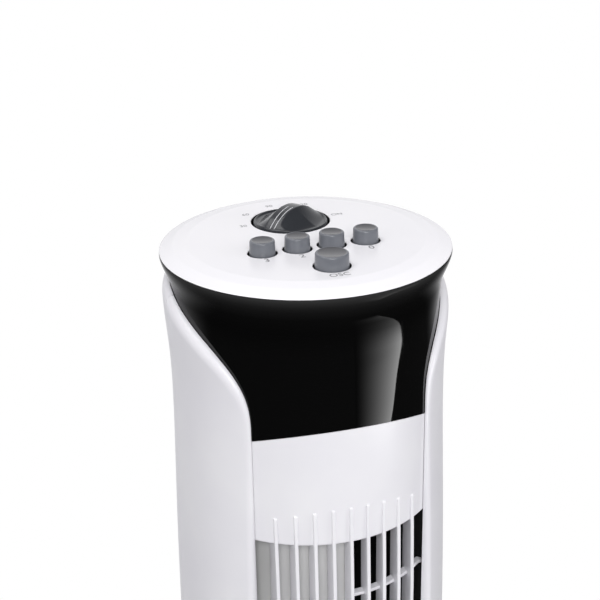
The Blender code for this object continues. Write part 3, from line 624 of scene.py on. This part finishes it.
def make_intake_grilles():
    """Three curved grilles with tall slots, clipped into the back."""
    half = INTAKE_HALF - INTAKE_GAP
    gap = 0.3 * MM
    pitch = (INTAKE_TOP - INTAKE_BOTTOM - INTAKE_RAIL) / SLOT_ROWS
    for index, side in enumerate(("right", "middle", "left")):
        middle = 180.0 + INTAKE_STEP * (index - 1)

        def skin(sunk, middle=middle):
            def point(u, v):
                height = INTAKE_BOTTOM + gap + (INTAKE_TOP - INTAKE_BOTTOM - 2 * gap) * v
                return on_bearing(casing_radius(height) - sunk, middle + half * (2 * u - 1), height)
            return point

        mesh = wall_mesh(f"grille_{side}", skin(0.0), skin(WALL), 24, 20)
        grille = place(f"grille_{side}", mesh, WHITE, "tower", (f"intake_grille_{side}",))
        slots = bmesh.new()
        for row in range(SLOT_ROWS):
            foot = INTAKE_BOTTOM + INTAKE_RAIL + pitch * row
            for column in range(SLOT_COLUMNS):
                x = SLOT_STEP * (column - (SLOT_COLUMNS - 1) / 2)
                low = Vector((x - SLOT_OPEN / 2, -95 * MM, foot))
                high = Vector((x + SLOT_OPEN / 2, -70 * MM, foot + pitch - INTAKE_RAIL))
                add_soft_box(slots, low, high, middle, SLOT_CORNER)
        cut_holes(grille, [loose(f"slots_{side}", mesh_of(f"slots_{side}", slots))])
        soften(grille, 0.35 * MM, 2)


def add_soft_box(shape, low, high, bearing, radius):
    """Box with four rounded edges that point at the axis, turned to a bearing."""
    box = bmesh.ops.create_cube(shape, size=1.0,
                                matrix=Matrix.LocRotScale((low + high) / 2, None, high - low))["verts"]
    edges = {edge for vertex in box for edge in vertex.link_edges}
    long_edges = [edge for edge in edges if abs(edge.verts[0].co.y - edge.verts[1].co.y) > 1 * MM]
    before = set(shape.verts) - set(box)
    bmesh.ops.bevel(shape, geom=long_edges, offset=radius, segments=5, affect="EDGES", profile=0.5)
    fresh = [vertex for vertex in shape.verts if vertex not in before]
    bmesh.ops.rotate(shape, verts=fresh, cent=(0, 0, 0), matrix=Matrix.Rotation(radians(bearing), 3, "Z"))


# ---------------------------------------------------------------- black head

def panel_top(bearing):
    """Height of the line where the head meets the front panel."""
    share = min(abs(bearing) / WINDOW_EDGE, 1.0)
    return RIM - (PANEL_DROP + PANEL_SAG * share ** 2)


def head_levels():
    """Shares of the drop from the rim: close together over the flare."""
    flare = [0.0, 0.012, 0.02, 0.03]
    rows = 40
    return flare + [flare[-1] + (1 - flare[-1]) * (k / rows) ** 1.25 for k in range(1, rows + 1)]


def make_head():
    levels = head_levels()
    rows = len(levels) - 1
    top = RIM - HEAD_GAP

    def split(u, v):
        bearing = 360.0 * u - 180.0
        drop = levels[rows - round(v * rows)]
        foot = panel_top(bearing)
        return bearing, top - (top - foot) * drop, drop

    def outer(u, v):
        bearing, height, drop = split(u, v)
        radius = head_curve(height)
        radius -= 0.5 * MM * max(0.0, 1 - drop / 0.02) ** 2
        tucked = ease(46.0, 52.0, abs(bearing)) * ease(0.5, 0.9, drop)
        return on_bearing(radius - HEAD_TUCK * tucked, bearing, height)

    def inner(u, v):
        point = outer(u, v)
        scale = 1 - WALL / sqrt(point.x ** 2 + point.y ** 2)
        return Vector((point.x * scale, point.y * scale, point.z))

    mesh = wall_mesh("head_skin", outer, inner, 200, rows, wraps=True)
    place("head_skin", mesh, GLOSS, "tower", ("head_shell",))


# ---------------------------------------------------------------- front panel and grille

def make_panel():
    """The panel's plain sheets above and below the outlet."""
    def sheet(name, low_of, high_of, rolled):
        """Part of the panel between two edge lines; the rolled end turns in towards the outlet."""
        def split(u, v):
            bearing = PANEL_LAP * (2 * u - 1)
            low = low_of(bearing)
            high = high_of(bearing)
            share = v ** 2 if rolled == "low" else 1 - (1 - v) ** 2
            height = low + (high - low) * share
            gap = height - low if rolled == "low" else high - height
            turn = min(gap / PANEL_LIP, 1.0)
            return bearing, height, PANEL_LIP * (1 - sqrt(1 - (1 - turn) ** 2))

        def outer(u, v):
            bearing, height, tuck = split(u, v)
            return on_bearing(PANEL_RADIUS - tuck, bearing, height)

        def inner(u, v):
            bearing, height, tuck = split(u, v)
            return on_bearing(PANEL_RADIUS - PANEL_WALL, bearing, height)

        mesh = wall_mesh(name, outer, inner, 64, 40)
        place(name, mesh, WHITE, "tower", ("front_grille",))

    sheet("panel_upper", lambda bearing: OUTLET_TOP, lambda bearing: panel_top(bearing) - PANEL_SEAM, "low")
    sheet("panel_lower", lambda bearing: PANEL_FOOT, lambda bearing: OUTLET_BOTTOM, "high")


def fin_front(top, height):
    """Radius of a fin's front edge: it swells forward below its top and above its foot."""
    reach = min(top - height, height - (OUTLET_TOP + OUTLET_BOTTOM - top))
    share = min(reach / (FIN_REACH + FIN_RUN), 1.0)
    nose = 0.7 * MM * (1 - min(reach / (0.9 * MM), 1.0)) ** 2
    return FIN_START + (FIN_FRONT - FIN_START) * share ** 0.8 - nose


def make_fins():
    """Upright fins over the outlet, each with its ends laid on the panel."""
    rows = 120
    outermost = FIN_PITCH * (FIN_COUNT - 1) / 2
    for index in range(FIN_COUNT):
        x = FIN_PITCH * index - outermost
        top = OUTLET_TOP + FIN_REACH - FIN_ARCH * (x / outermost) ** 2
        foot = OUTLET_TOP + OUTLET_BOTTOM - top
        front = []
        for row in range(rows + 1):
            height = foot + (top - foot) * (0.5 - 0.5 * cos(pi * row / rows))
            front.append((fin_front(top, height), height))
        back = [(FIN_ROOT, top), (FIN_ROOT, OUTLET_TOP), (FIN_BACK, OUTLET_TOP - FIN_CHAMFER),
                (FIN_BACK, OUTLET_BOTTOM + FIN_CHAMFER), (FIN_ROOT, OUTLET_BOTTOM), (FIN_ROOT, foot)]
        outline = [Vector((x - FIN_THICKNESS / 2, -sqrt(radius ** 2 - x ** 2), height))
                   for radius, height in front + back]
        shape = bmesh.new()
        face = shape.faces.new([shape.verts.new(point) for point in outline])
        swept = bmesh.ops.extrude_face_region(shape, geom=[face])
        moved = [item for item in swept["geom"] if isinstance(item, bmesh.types.BMVert)]
        bmesh.ops.translate(shape, vec=(FIN_THICKNESS, 0.0, 0.0), verts=moved)
        bmesh.ops.recalc_face_normals(shape, faces=shape.faces)
        name = f"fin_{index + 1}"
        mesh = mesh_of(name, shape)
        finish_mesh(mesh)
        soften(place(name, mesh, WHITE, "tower", ("front_grille",)), FIN_EDGE)


def soften(piece, width, segments=3):
    """Round a piece's crisp edges."""
    edges = piece.modifiers.new("edges", "BEVEL")
    edges.width = width
    edges.segments = segments
    edges.limit_method = "ANGLE"
    edges.angle_limit = radians(50.0)


def make_crossbars():
    """Level bars over the open half of the outlet; each steps out to meet the panel at its end."""
    count = 0
    height = OUTLET_TOP - CROSSBAR_PITCH
    while height > OUTLET_BOTTOM + CROSSBAR_PITCH / 3:
        def side(lift, height=height):
            def point(u, v):
                radius = CROSSBAR_BACK + CROSSBAR_DEPTH * v + CROSSBAR_STEP * ease(0.92, 1.0, u)
                return on_bearing(radius, CROSSBAR_END * u, height + lift)
            return point

        count += 1
        mesh = wall_mesh(f"crossbar_{count}", side(-CROSSBAR_HALF), side(CROSSBAR_HALF), 30, 2)
        bar = place(f"crossbar_{count}", mesh, WHITE, "tower", ("front_grille",))
        soften(bar, FIN_EDGE)
        height -= CROSSBAR_PITCH


def make_backing():
    """Blank behind the left half of the outlet, then the tongue that runs back to the wheel."""
    low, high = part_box("vortex_tongue")
    corner = Vector((1.0 * MM, -BACKING_RADIUS))
    tip = Vector((-21.5 * MM, -25.0 * MM))
    bow = 7 * MM
    turn = 0.6

    def middle_line(u):
        if u <= turn:
            return on_bearing(BACKING_RADIUS, BACKING_SPAN * u / turn - BACKING_EDGE).xy
        share = (u - turn) / (1 - turn)
        return corner.lerp(tip, share) + Vector((bow * sin(pi * share), 0.0))

    def side(offset):
        def point(u, v):
            here = middle_line(u)
            nearby = 0.004
            run = (middle_line(min(u + nearby, 1.0)) - middle_line(max(u - nearby, 0.0))).normalized()
            spot = here + Vector((run.y, -run.x)) * offset
            return Vector((spot.x, spot.y, low.z + (high.z - low.z) * v))
        return point

    mesh = wall_mesh("outlet_backing", side(BACKING_HALF), side(-BACKING_HALF), 90, 4)
    backing = place("outlet_backing", mesh, BACKING, "tower", ("vortex_tongue",))
    soften(backing, 0.3 * MM)


# ---------------------------------------------------------------- blower

def make_wheel():
    """Cross-flow wheel: a ring of curved blades held by thin discs."""
    low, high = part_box("blower_wheel")
    centre = (low + high) / 2
    outer = (high.x - low.x) / 2
    shape = bmesh.new()
    disc_count = 9
    disc_height = 2 * MM
    blade_count = 35
    blade_thickness = 0.8 * MM
    inner = outer - 9.0 * MM
    hub_bore = 10.4 * MM
    for k in range(disc_count):
        height = low.z + (high.z - low.z - disc_height) * k / (disc_count - 1)
        bore = hub_bore if k in (0, disc_count - 1) else inner - 1 * MM
        ring_of(shape, bore, outer, height, height + disc_height)
    for k in range(blade_count):
        add_blade(shape, 2 * pi * k / blade_count, inner, outer - 0.4 * MM, blade_thickness,
                  low.z + 0.5 * MM, high.z - 0.5 * MM)
    bmesh.ops.translate(shape, verts=shape.verts, vec=(centre.x, centre.y, 0.0))
    mesh = mesh_of("wheel", shape)
    finish_mesh(mesh)
    place("wheel", mesh, BLACK_AND_PAINTED_SHADE, "blower", ("blower_wheel",))


def ring_of(shape, bore, rim, low, high, steps=70):
    """Flat disc with a round bore, added to a bmesh."""
    rings = []
    for step in range(steps):
        angle = 2 * pi * step / steps
        way = Vector((cos(angle), sin(angle), 0.0))
        rings.append([shape.verts.new(way * radius + Vector((0, 0, height)))
                      for radius, height in ((bore, high), (rim, high), (rim, low), (bore, low))])
    for k, first in enumerate(rings):
        second = rings[(k + 1) % steps]
        for corner in range(4):
            after = (corner + 1) % 4
            shape.faces.new((first[corner], first[after], second[after], second[corner]))


def add_blade(shape, angle, inner, outer, thick, low, high, steps=6):
    """Forward-curved blade: an arc from the wheel's inner circle to its rim."""
    sweep = radians(16.0)
    pitch = 0.5
    columns = []
    for step in range(steps + 1):
        share = step / steps
        radius = inner + (outer - inner) * share
        lean = angle - sweep * (share ** 1.6)
        centre = Vector((cos(lean), sin(lean), 0.0)) * radius
        across = Vector((-sin(lean + pitch), cos(lean + pitch), 0.0)) * thick / 2
        columns.append([shape.verts.new(centre + side * across + Vector((0, 0, height)))
                        for side, height in ((-1, low), (1, low), (1, high), (-1, high))])
    for first, second in zip(columns, columns[1:]):
        for k in range(4):
            after = (k + 1) % 4
            shape.faces.new((first[k], first[after], second[after], second[k]))
    shape.faces.new(columns[0][::-1])
    shape.faces.new(columns[-1])


# ---------------------------------------------------------------- control top

def middle(node):
    low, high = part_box(node)
    return (low + high) / 2


KNOB_CENTRE = middle("timer_knob").xy
OSC_CENTRE = middle("osc_button_cap").xy
SPEED_CENTRES = [middle(f"button_{index}_cap").xy for index in range(4)]


def hole_cutter(name, centre, radius, fillet=0.5 * MM):
    """Round cutter whose top flares, so the hole it leaves has a rounded mouth."""
    above = FACE + 3 * MM
    below = FACE - 8 * MM
    steps = 6
    profile = [(0.0, above), (radius + fillet, above), (radius + fillet, FACE)]
    for step in range(1, steps + 1):
        angle = pi / 2 * step / steps
        profile.append((radius + fillet * (1 - sin(angle)), FACE - fillet * (1 - cos(angle))))
    profile += [(radius, below), (0.0, below)]
    return loose(name, turned_mesh(name, profile, centre, steps=96))


def make_cover():
    spigot = 82.4 * MM
    corners = [(0.0, FACE, 0), (69.0 * MM, FACE, 12 * MM), (77.2 * MM, RIM + 3.0 * MM, 8 * MM),
               (84.2 * MM, RIM + 0.35 * MM, 0.6 * MM), (COVER_RADIUS, RIM - 0.2 * MM, 0),
               (spigot, RIM - 0.2 * MM, 0), (spigot, RIM - 1.5 * MM, 0), (81.6 * MM, RIM - 1.5 * MM, 0),
               (75.0 * MM, FACE - COVER_WALL, 0), (0.0, FACE - COVER_WALL, 0)]
    mesh = turned_mesh("cover_disc", rounded(corners, 8), steps=256)
    cover = place("cover_disc", mesh, COVER_WHITE, "tower", ("top_cover",))
    cutters = [hole_cutter("knob_well", KNOB_CENTRE, KNOB_WELL, 0.7 * MM),
               hole_cutter("osc_hole", OSC_CENTRE, OSC_HOLE)]
    cutters += [hole_cutter(f"speed_hole_{k}", centre, SPEED_HOLE) for k, centre in enumerate(SPEED_CENTRES)]
    cut_holes(cover, cutters)
    wells = [(KNOB_CENTRE, KNOB_WELL), (OSC_CENTRE, OSC_HOLE)]
    wells += [(centre, SPEED_HOLE) for centre in SPEED_CENTRES]

    # Painted shade: the white hole walls below each mouth take the black material, for the dark gap round
    # the knob and buttons.
    def in_well(spot):
        return spot.z < FACE - WELL_EDGE and any(
            (spot.xy - centre).length < radius + 0.1 * MM for centre, radius in wells)

    repaint(cover, BLACK_AND_PAINTED_SHADE, in_well)


def make_buttons():
    caps = [(f"button_{k}", centre) for k, centre in enumerate(SPEED_CENTRES)] + [("osc_button", OSC_CENTRE)]
    for body, centre in caps:
        low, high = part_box(f"{body}_cap")
        radius = (high.x - low.x) / 2
        top = high.z
        profile = [(0.0, top - 0.55 * MM, 0), (radius - 2.6 * MM, top - 0.40 * MM, 0),
                   (radius - 1.5 * MM, top, 0.9 * MM), (radius - 0.35 * MM, top, 1.1 * MM),
                   (radius - 0.15 * MM, top - 6 * MM, 0), (radius, FACE, 0), (radius, low.z, 0),
                   (0.0, low.z, 0)]
        mesh = turned_mesh(f"{body}_top", rounded(profile, 5), centre, steps=72)
        cap = place(f"{body}_top", mesh, BUTTON, body, (f"{body}_cap",))

        # Painted shade: the dish of each top takes the darker grey, standing in for the dark reflection it
        # shows.
        def in_dish(spot, top=top, centre=centre, radius=radius):
            return spot.z > top - 0.6 * MM and (spot.xy - centre).length < radius - 1.9 * MM

        repaint(cap, BUTTON_TOP_SHADE, in_dish)


def repaint(piece, material, inside):
    """Second material on the faces whose centres pass a test."""
    piece.data.materials.append(material)
    for face in piece.data.polygons:
        if inside(face.center):
            face.material_index = 1


def grip_height(across, along):
    """Height of the dial's grip over its floor: a low arched ridge with broad sloping flanks."""
    share = min(abs(along) / GRIP_REACH, 1.0)
    foot = (14.7 - 7.0 * share) * MM
    fall = min(max(abs(across) - GRIP_HALF, 0.0) / foot, 1.0)
    return GRIP_CREST * (1 - share ** 2.2) * (1 - fall) ** 1.3


def make_knob():
    low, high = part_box("timer_knob")
    radius = (high.y - low.y) / 2
    floor = RIM + 3.6 * MM
    turn = Matrix.Rotation(radians(POINTER_BEARING), 2)
    spokes = 144
    rings = 60
    rays = [Vector((cos(2 * pi * k / spokes), sin(2 * pi * k / spokes))) for k in range(spokes)]

    def dial_height(spot):
        """Floor of the dial with its raised rim and the grip that crosses it."""
        reach = spot.length
        rim = 0.9 * MM * ease(radius - 2.4 * MM, radius - 1.2 * MM, reach)
        drop = 1.3 * MM * ease(radius - 0.9 * MM, radius, reach)
        clear = 1 - ease(radius - 2.2 * MM, radius, reach)
        return floor + rim - drop + grip_height(spot.x, spot.y) * clear

    points = [Vector((0.0, 0.0, dial_height(Vector((0.0, 0.0)))))]
    for ring in range(1, rings + 1):
        for ray in rays:
            spot = ray * radius * (ring / rings)
            points.append(Vector((*spot, dial_height(spot))))
    for depth in (FACE - COVER_WALL, low.z):
        points += [Vector((*(ray * radius), depth)) for ray in rays]
    faces = [(0, 1 + k, 1 + (k + 1) % spokes) for k in range(spokes)]
    for ring in range(rings + 1):
        base = 1 + ring * spokes
        for k in range(spokes):
            after = (k + 1) % spokes
            faces.append((base + k, base + spokes + k, base + spokes + after, base + after))
    last = 1 + (rings + 1) * spokes
    faces.append([last + k for k in reversed(range(spokes))])
    mesh = bpy.data.meshes.new("dial")
    mesh.from_pydata([(*(turn @ point.xy + KNOB_CENTRE), point.z) for point in points], [], faces)
    finish_mesh(mesh, 60.0)
    place("dial", mesh, KNOB_DARK, "timer_knob", ("timer_knob",))
    make_pointer(turn, floor, radius)


def make_pointer(turn, floor, radius):
    """Two fine raised lines down the crest of the grip towards its front end."""
    count = 28
    start = 1.5 * MM
    run = radius - 3.6 * MM
    for side, name in ((-1, "pointer_line_left"), (1, "pointer_line_right")):
        curve = bpy.data.curves.new(name, "CURVE")
        curve.dimensions = "3D"
        curve.bevel_depth = 0.22 * MM
        curve.bevel_resolution = 3
        curve.use_fill_caps = True
        path = curve.splines.new("POLY")
        path.points.add(count - 1)
        for k in range(count):
            share = k / (count - 1)
            along = -(start + run * share)
            across = (1.2 + side * (1.6 - 0.2 * share)) * MM
            spot = turn @ Vector((across, along)) + KNOB_CENTRE
            path.points[k].co = (*spot, floor + grip_height(across, along) + 0.02 * MM, 1.0)
        line = bpy.data.objects.new(name, curve)
        curve.materials.append(POINTER)
        bpy.context.scene.collection.objects.link(line)
        settle(line, "timer_knob")


def make_print():
    """Numbers and plain words printed on the top."""
    below = Vector((-0.8 * MM, -12.4 * MM))
    marks = [(str(index), SPEED_CENTRES[index] + below, 7.0) for index in range(4)]
    marks.append(("OSC", OSC_CENTRE + Vector((-0.3 * MM, -14.4 * MM)), 6.1))
    for text, bearing in (("30", -88.0), ("60", -129.0), ("90", -170.0), ("120", 149.0), ("ON", 91.0)):
        spot = KNOB_CENTRE + on_bearing(PRINT_RING, bearing).xy
        marks.append((text, spot, 4.6))
    for k, (text, spot, size) in enumerate(marks):
        curve = bpy.data.curves.new(f"print_{k}", "FONT")
        curve.body = text
        curve.size = size * MM
        curve.align_x = "CENTER"
        curve.align_y = "CENTER"
        curve.extrude = 0.02 * MM
        curve.resolution_u = 6
        curve.materials.append(INK)
        label = bpy.data.objects.new(f"print_{text}_{k}", curve)
        label.location = (spot.x, spot.y, FACE + 0.03 * MM)
        bpy.context.scene.collection.objects.link(label)
        settle(label, "tower")


# ---------------------------------------------------------------- base

def make_base():
    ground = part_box("base_shell")[0].z
    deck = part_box("base_shell")[1].z
    bore = 31.5 * MM
    socket = 37.0 * MM
    corners = [(bore, deck, 0), (64 * MM, deck, 60 * MM), (100 * MM, deck - 5.2 * MM, 90 * MM),
               (131 * MM, deck - 19.5 * MM, 40 * MM), (143 * MM, deck - 34 * MM, 12 * MM),
               (BASE_RADIUS, ground + 0.8 * MM, 0.6 * MM), (BASE_RADIUS - 0.8 * MM, ground, 0),
               (141 * MM, ground, 0), (140.5 * MM, 9 * MM, 0), (128 * MM, 22.5 * MM, 0),
               (97 * MM, 36 * MM, 0), (64 * MM, 41 * MM, 0), (socket, 41 * MM, 0),
               (socket, 34 * MM, 0), (bore, 34 * MM, 0)]
    mesh = turned_mesh("base_dish", rounded(corners, 8), steps=192)
    place("base_dish", mesh, WHITE, "base", ("base_shell",))
    low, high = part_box("pivot_collar")
    bore = 36.0 * MM
    corners = [(bore, high.z, 0), (54.5 * MM, high.z, 2.5 * MM), (60.5 * MM, high.z - 3.4 * MM, 3 * MM),
               (62 * MM, low.z, 0), (bore, low.z, 0)]
    mesh = turned_mesh("swivel_collar", rounded(corners, 6), steps=128)
    place("swivel_collar", mesh, BLACK_AND_PAINTED_SHADE, "base", ("pivot_collar",))
    for index in range(4):
        node = f"rubber_foot_{index + 1}"
        low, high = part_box(node)
        radius = (high.x - low.x) / 2
        corners = [(0.0, high.z, 0), (radius - 0.6 * MM, high.z, 0), (radius, low.z, 1.0 * MM),
                   (0.0, low.z, 0)]
        mesh = turned_mesh(f"foot_{index + 1}", rounded(corners, 4), middle(node).xy, steps=48)
        place(f"foot_{index + 1}", mesh, RUBBER, "base", (node,))


# ---------------------------------------------------------------- studio

def area(name, location, target, size, energy):
    """White softbox turned towards a target."""
    light = bpy.data.lights.new(name, "AREA")
    light.shape = "RECTANGLE"
    light.size = size[0]
    light.size_y = size[1]
    light.energy = energy
    lamp = bpy.data.objects.new(name, light)
    lamp.location = location
    lamp.rotation_euler = (Vector(target) - Vector(location)).to_track_quat("-Z", "Y").to_euler()
    bpy.context.scene.collection.objects.link(lamp)
    return lamp


def make_world():
    """White behind the fan, a lavender fill on it, and in reflections light only from behind."""
    scene = bpy.context.scene
    scene.view_settings.view_transform = "Standard"
    world = bpy.data.worlds.new("studio")
    scene.world = world
    world.use_nodes = True
    tree = world.node_tree
    backdrop = tree.nodes["Background"]
    backdrop.inputs["Color"].default_value = (1.0, 1.0, 1.0, 1.0)
    backdrop.inputs["Strength"].default_value = 1.0
    fill = tree.nodes.new("ShaderNodeBackground")
    fill.inputs["Color"].default_value = (0.97, 0.965, 1.0, 1.0)
    fill.inputs["Strength"].default_value = 0.345
    mirrored = tree.nodes.new("ShaderNodeBackground")
    mirrored.inputs["Color"].default_value = (0.98, 0.98, 1.0, 1.0)
    way = tree.nodes.new("ShaderNodeTexCoord")
    split = tree.nodes.new("ShaderNodeSeparateXYZ")
    depth = tree.nodes.new("ShaderNodeMapRange")
    depth.interpolation_type = "SMOOTHSTEP"
    depth.inputs["From Min"].default_value = 0.25
    depth.inputs["From Max"].default_value = 0.92
    depth.inputs["To Min"].default_value = 0.02
    depth.inputs["To Max"].default_value = 0.9
    tree.links.new(way.outputs["Generated"], split.inputs["Vector"])
    tree.links.new(split.outputs["Y"], depth.inputs["Value"])
    tree.links.new(depth.outputs["Result"], mirrored.inputs["Strength"])
    path = tree.nodes.new("ShaderNodeLightPath")
    soft = tree.nodes.new("ShaderNodeMixShader")
    choose = tree.nodes.new("ShaderNodeMixShader")
    tree.links.new(path.outputs["Is Glossy Ray"], soft.inputs["Fac"])
    tree.links.new(fill.outputs["Background"], soft.inputs[1])
    tree.links.new(mirrored.outputs["Background"], soft.inputs[2])
    tree.links.new(path.outputs["Is Camera Ray"], choose.inputs["Fac"])
    tree.links.new(soft.outputs["Shader"], choose.inputs[1])
    tree.links.new(backdrop.outputs["Background"], choose.inputs[2])
    tree.links.new(choose.outputs["Shader"], tree.nodes["World Output"].inputs["Surface"])


def make_studio():
    make_world()
    reach = 0.56
    depth = 0.01
    floor_mesh = turned_mesh("floor", [(0.0, 0.0), (reach, 0.0), (reach, -depth), (0.0, -depth)], steps=128)
    floor = loose("floor", floor_mesh)
    floor_mesh.materials.append(principled("pale_floor", (0.86, 0.86, 0.87), 0.7)[0])
    floor.visible_glossy = False

    target = (0.0, 0.0, RIM - 80 * MM)
    area("key", (-0.45, -2.3, 2.1), target, (1.5, 1.2), 45)
    area("overhead", (-0.5, 0.2, 2.6), target, (1.4, 1.4), 16)
    for lamp in (area("left", (-2.2, -1.2, 1.3), target, (1.2, 1.6), 9),
                 area("right", (2.2, -1.4, 1.3), target, (1.2, 1.6), 22)):
        lamp.visible_glossy = False
    make_soft_card()


def glow_material(name, power, gain):
    """Light that grows across a card with its first map direction and is scaled by its second."""
    material = bpy.data.materials.new(name)
    material.use_nodes = True
    tree = material.node_tree
    tree.nodes.clear()
    spot = tree.nodes.new("ShaderNodeTexCoord")
    split = tree.nodes.new("ShaderNodeSeparateXYZ")
    curve = tree.nodes.new("ShaderNodeMath")
    curve.operation = "POWER"
    curve.inputs[1].default_value = power
    shade = tree.nodes.new("ShaderNodeMath")
    shade.operation = "MULTIPLY"
    level = tree.nodes.new("ShaderNodeMath")
    level.operation = "MULTIPLY"
    level.inputs[1].default_value = gain
    glow = tree.nodes.new("ShaderNodeEmission")
    output = tree.nodes.new("ShaderNodeOutputMaterial")
    tree.links.new(spot.outputs["UV"], split.inputs["Vector"])
    tree.links.new(split.outputs["X"], curve.inputs[0])
    tree.links.new(curve.outputs["Value"], shade.inputs[0])
    tree.links.new(split.outputs["Y"], shade.inputs[1])
    tree.links.new(shade.outputs["Value"], level.inputs[0])
    tree.links.new(level.outputs["Value"], glow.inputs["Strength"])
    tree.links.new(glow.outputs["Emission"], output.inputs["Surface"])
    return material


def place_glow(name, points, faces, shades, material):
    """A stage card seen only in reflections; shades holds each point's place on its map."""
    mesh = bpy.data.meshes.new(name)
    mesh.from_pydata(points, [], faces)
    spots = mesh.uv_layers.new(name="shade")
    for loop in mesh.loops:
        spots.data[loop.index].uv = shades[loop.vertex_index]
    mesh.materials.append(material)
    card = loose(name, mesh)
    card.visible_camera = False
    card.visible_diffuse = False
    card.visible_shadow = False


def make_soft_card():
    """Graded curved card beside the tower, seen only as a slanting streak in the glossy head."""
    columns = 24
    reach = 0.2
    left = 15.0
    # Height from the rim in millimetres, right edge in degrees, brightness
    rows = [(-60, 62.0, 1.0), (-97, 58.0, 1.0), (-100, 56.2, 1.0), (-102, 53.6, 1.0), (-104, 52.2, 1.0),
            (-107, 51.0, 1.0), (-113, 49.5, 1.0), (-120, 48.0, 1.0), (-132, 45.7, 1.0), (-149, 43.2, 1.0),
            (-156, 42.3, 0.9), (-176, 41.0, 0.0)]
    points = []
    faces = []
    shades = []
    for row, (drop, right, brightness) in enumerate(rows):
        for column in range(columns + 1):
            share = column / columns
            points.append(on_bearing(reach, left + (right - left) * share, RIM + drop * MM))
            shades.append((share, brightness))
            if row and column:
                corner = row * (columns + 1) + column
                faces.append((corner - columns - 2, corner - columns - 1, corner, corner - 1))
    place_glow("soft_card", points, faces, shades, glow_material("graded_glow", power=1.7, gain=5.4))


def make_camera():
    """Long lens, 20 degrees above the head and 17 degrees to its left."""
    distance = 0.7567
    lift = radians(20.40)
    swing = radians(17.0)
    head = Vector((0.0, 0.0, RIM))
    offset = Vector((-sin(swing) * cos(lift), -cos(swing) * cos(lift), sin(lift))) * distance
    camera_data = bpy.data.cameras.new("camera")
    camera_data.sensor_width = 36.0
    camera_data.lens = 78.0
    camera_data.clip_start = 0.05
    heading = swing - radians(0.31)
    pitch = radians(22.90)
    roll = radians(-1.10)
    ahead = Vector((sin(heading) * cos(pitch), cos(heading) * cos(pitch), -sin(pitch)))
    level = Vector((cos(heading), -sin(heading), 0.0))
    raised = level.cross(ahead)
    right = level * cos(roll) + raised * sin(roll)
    up = raised * cos(roll) - level * sin(roll)
    camera = bpy.data.objects.new("camera", camera_data)
    camera.matrix_world = Matrix((right, up, -ahead)).transposed().to_4x4()
    camera.location = head + offset
    bpy.context.scene.collection.objects.link(camera)
    bpy.context.scene.camera = camera


make_camera()
dress_frame()
make_wings()
make_back()
make_head()
make_panel()
make_fins()
make_crossbars()
make_backing()
make_wheel()
make_cover()
make_buttons()
make_knob()
make_print()
make_base()
make_studio()
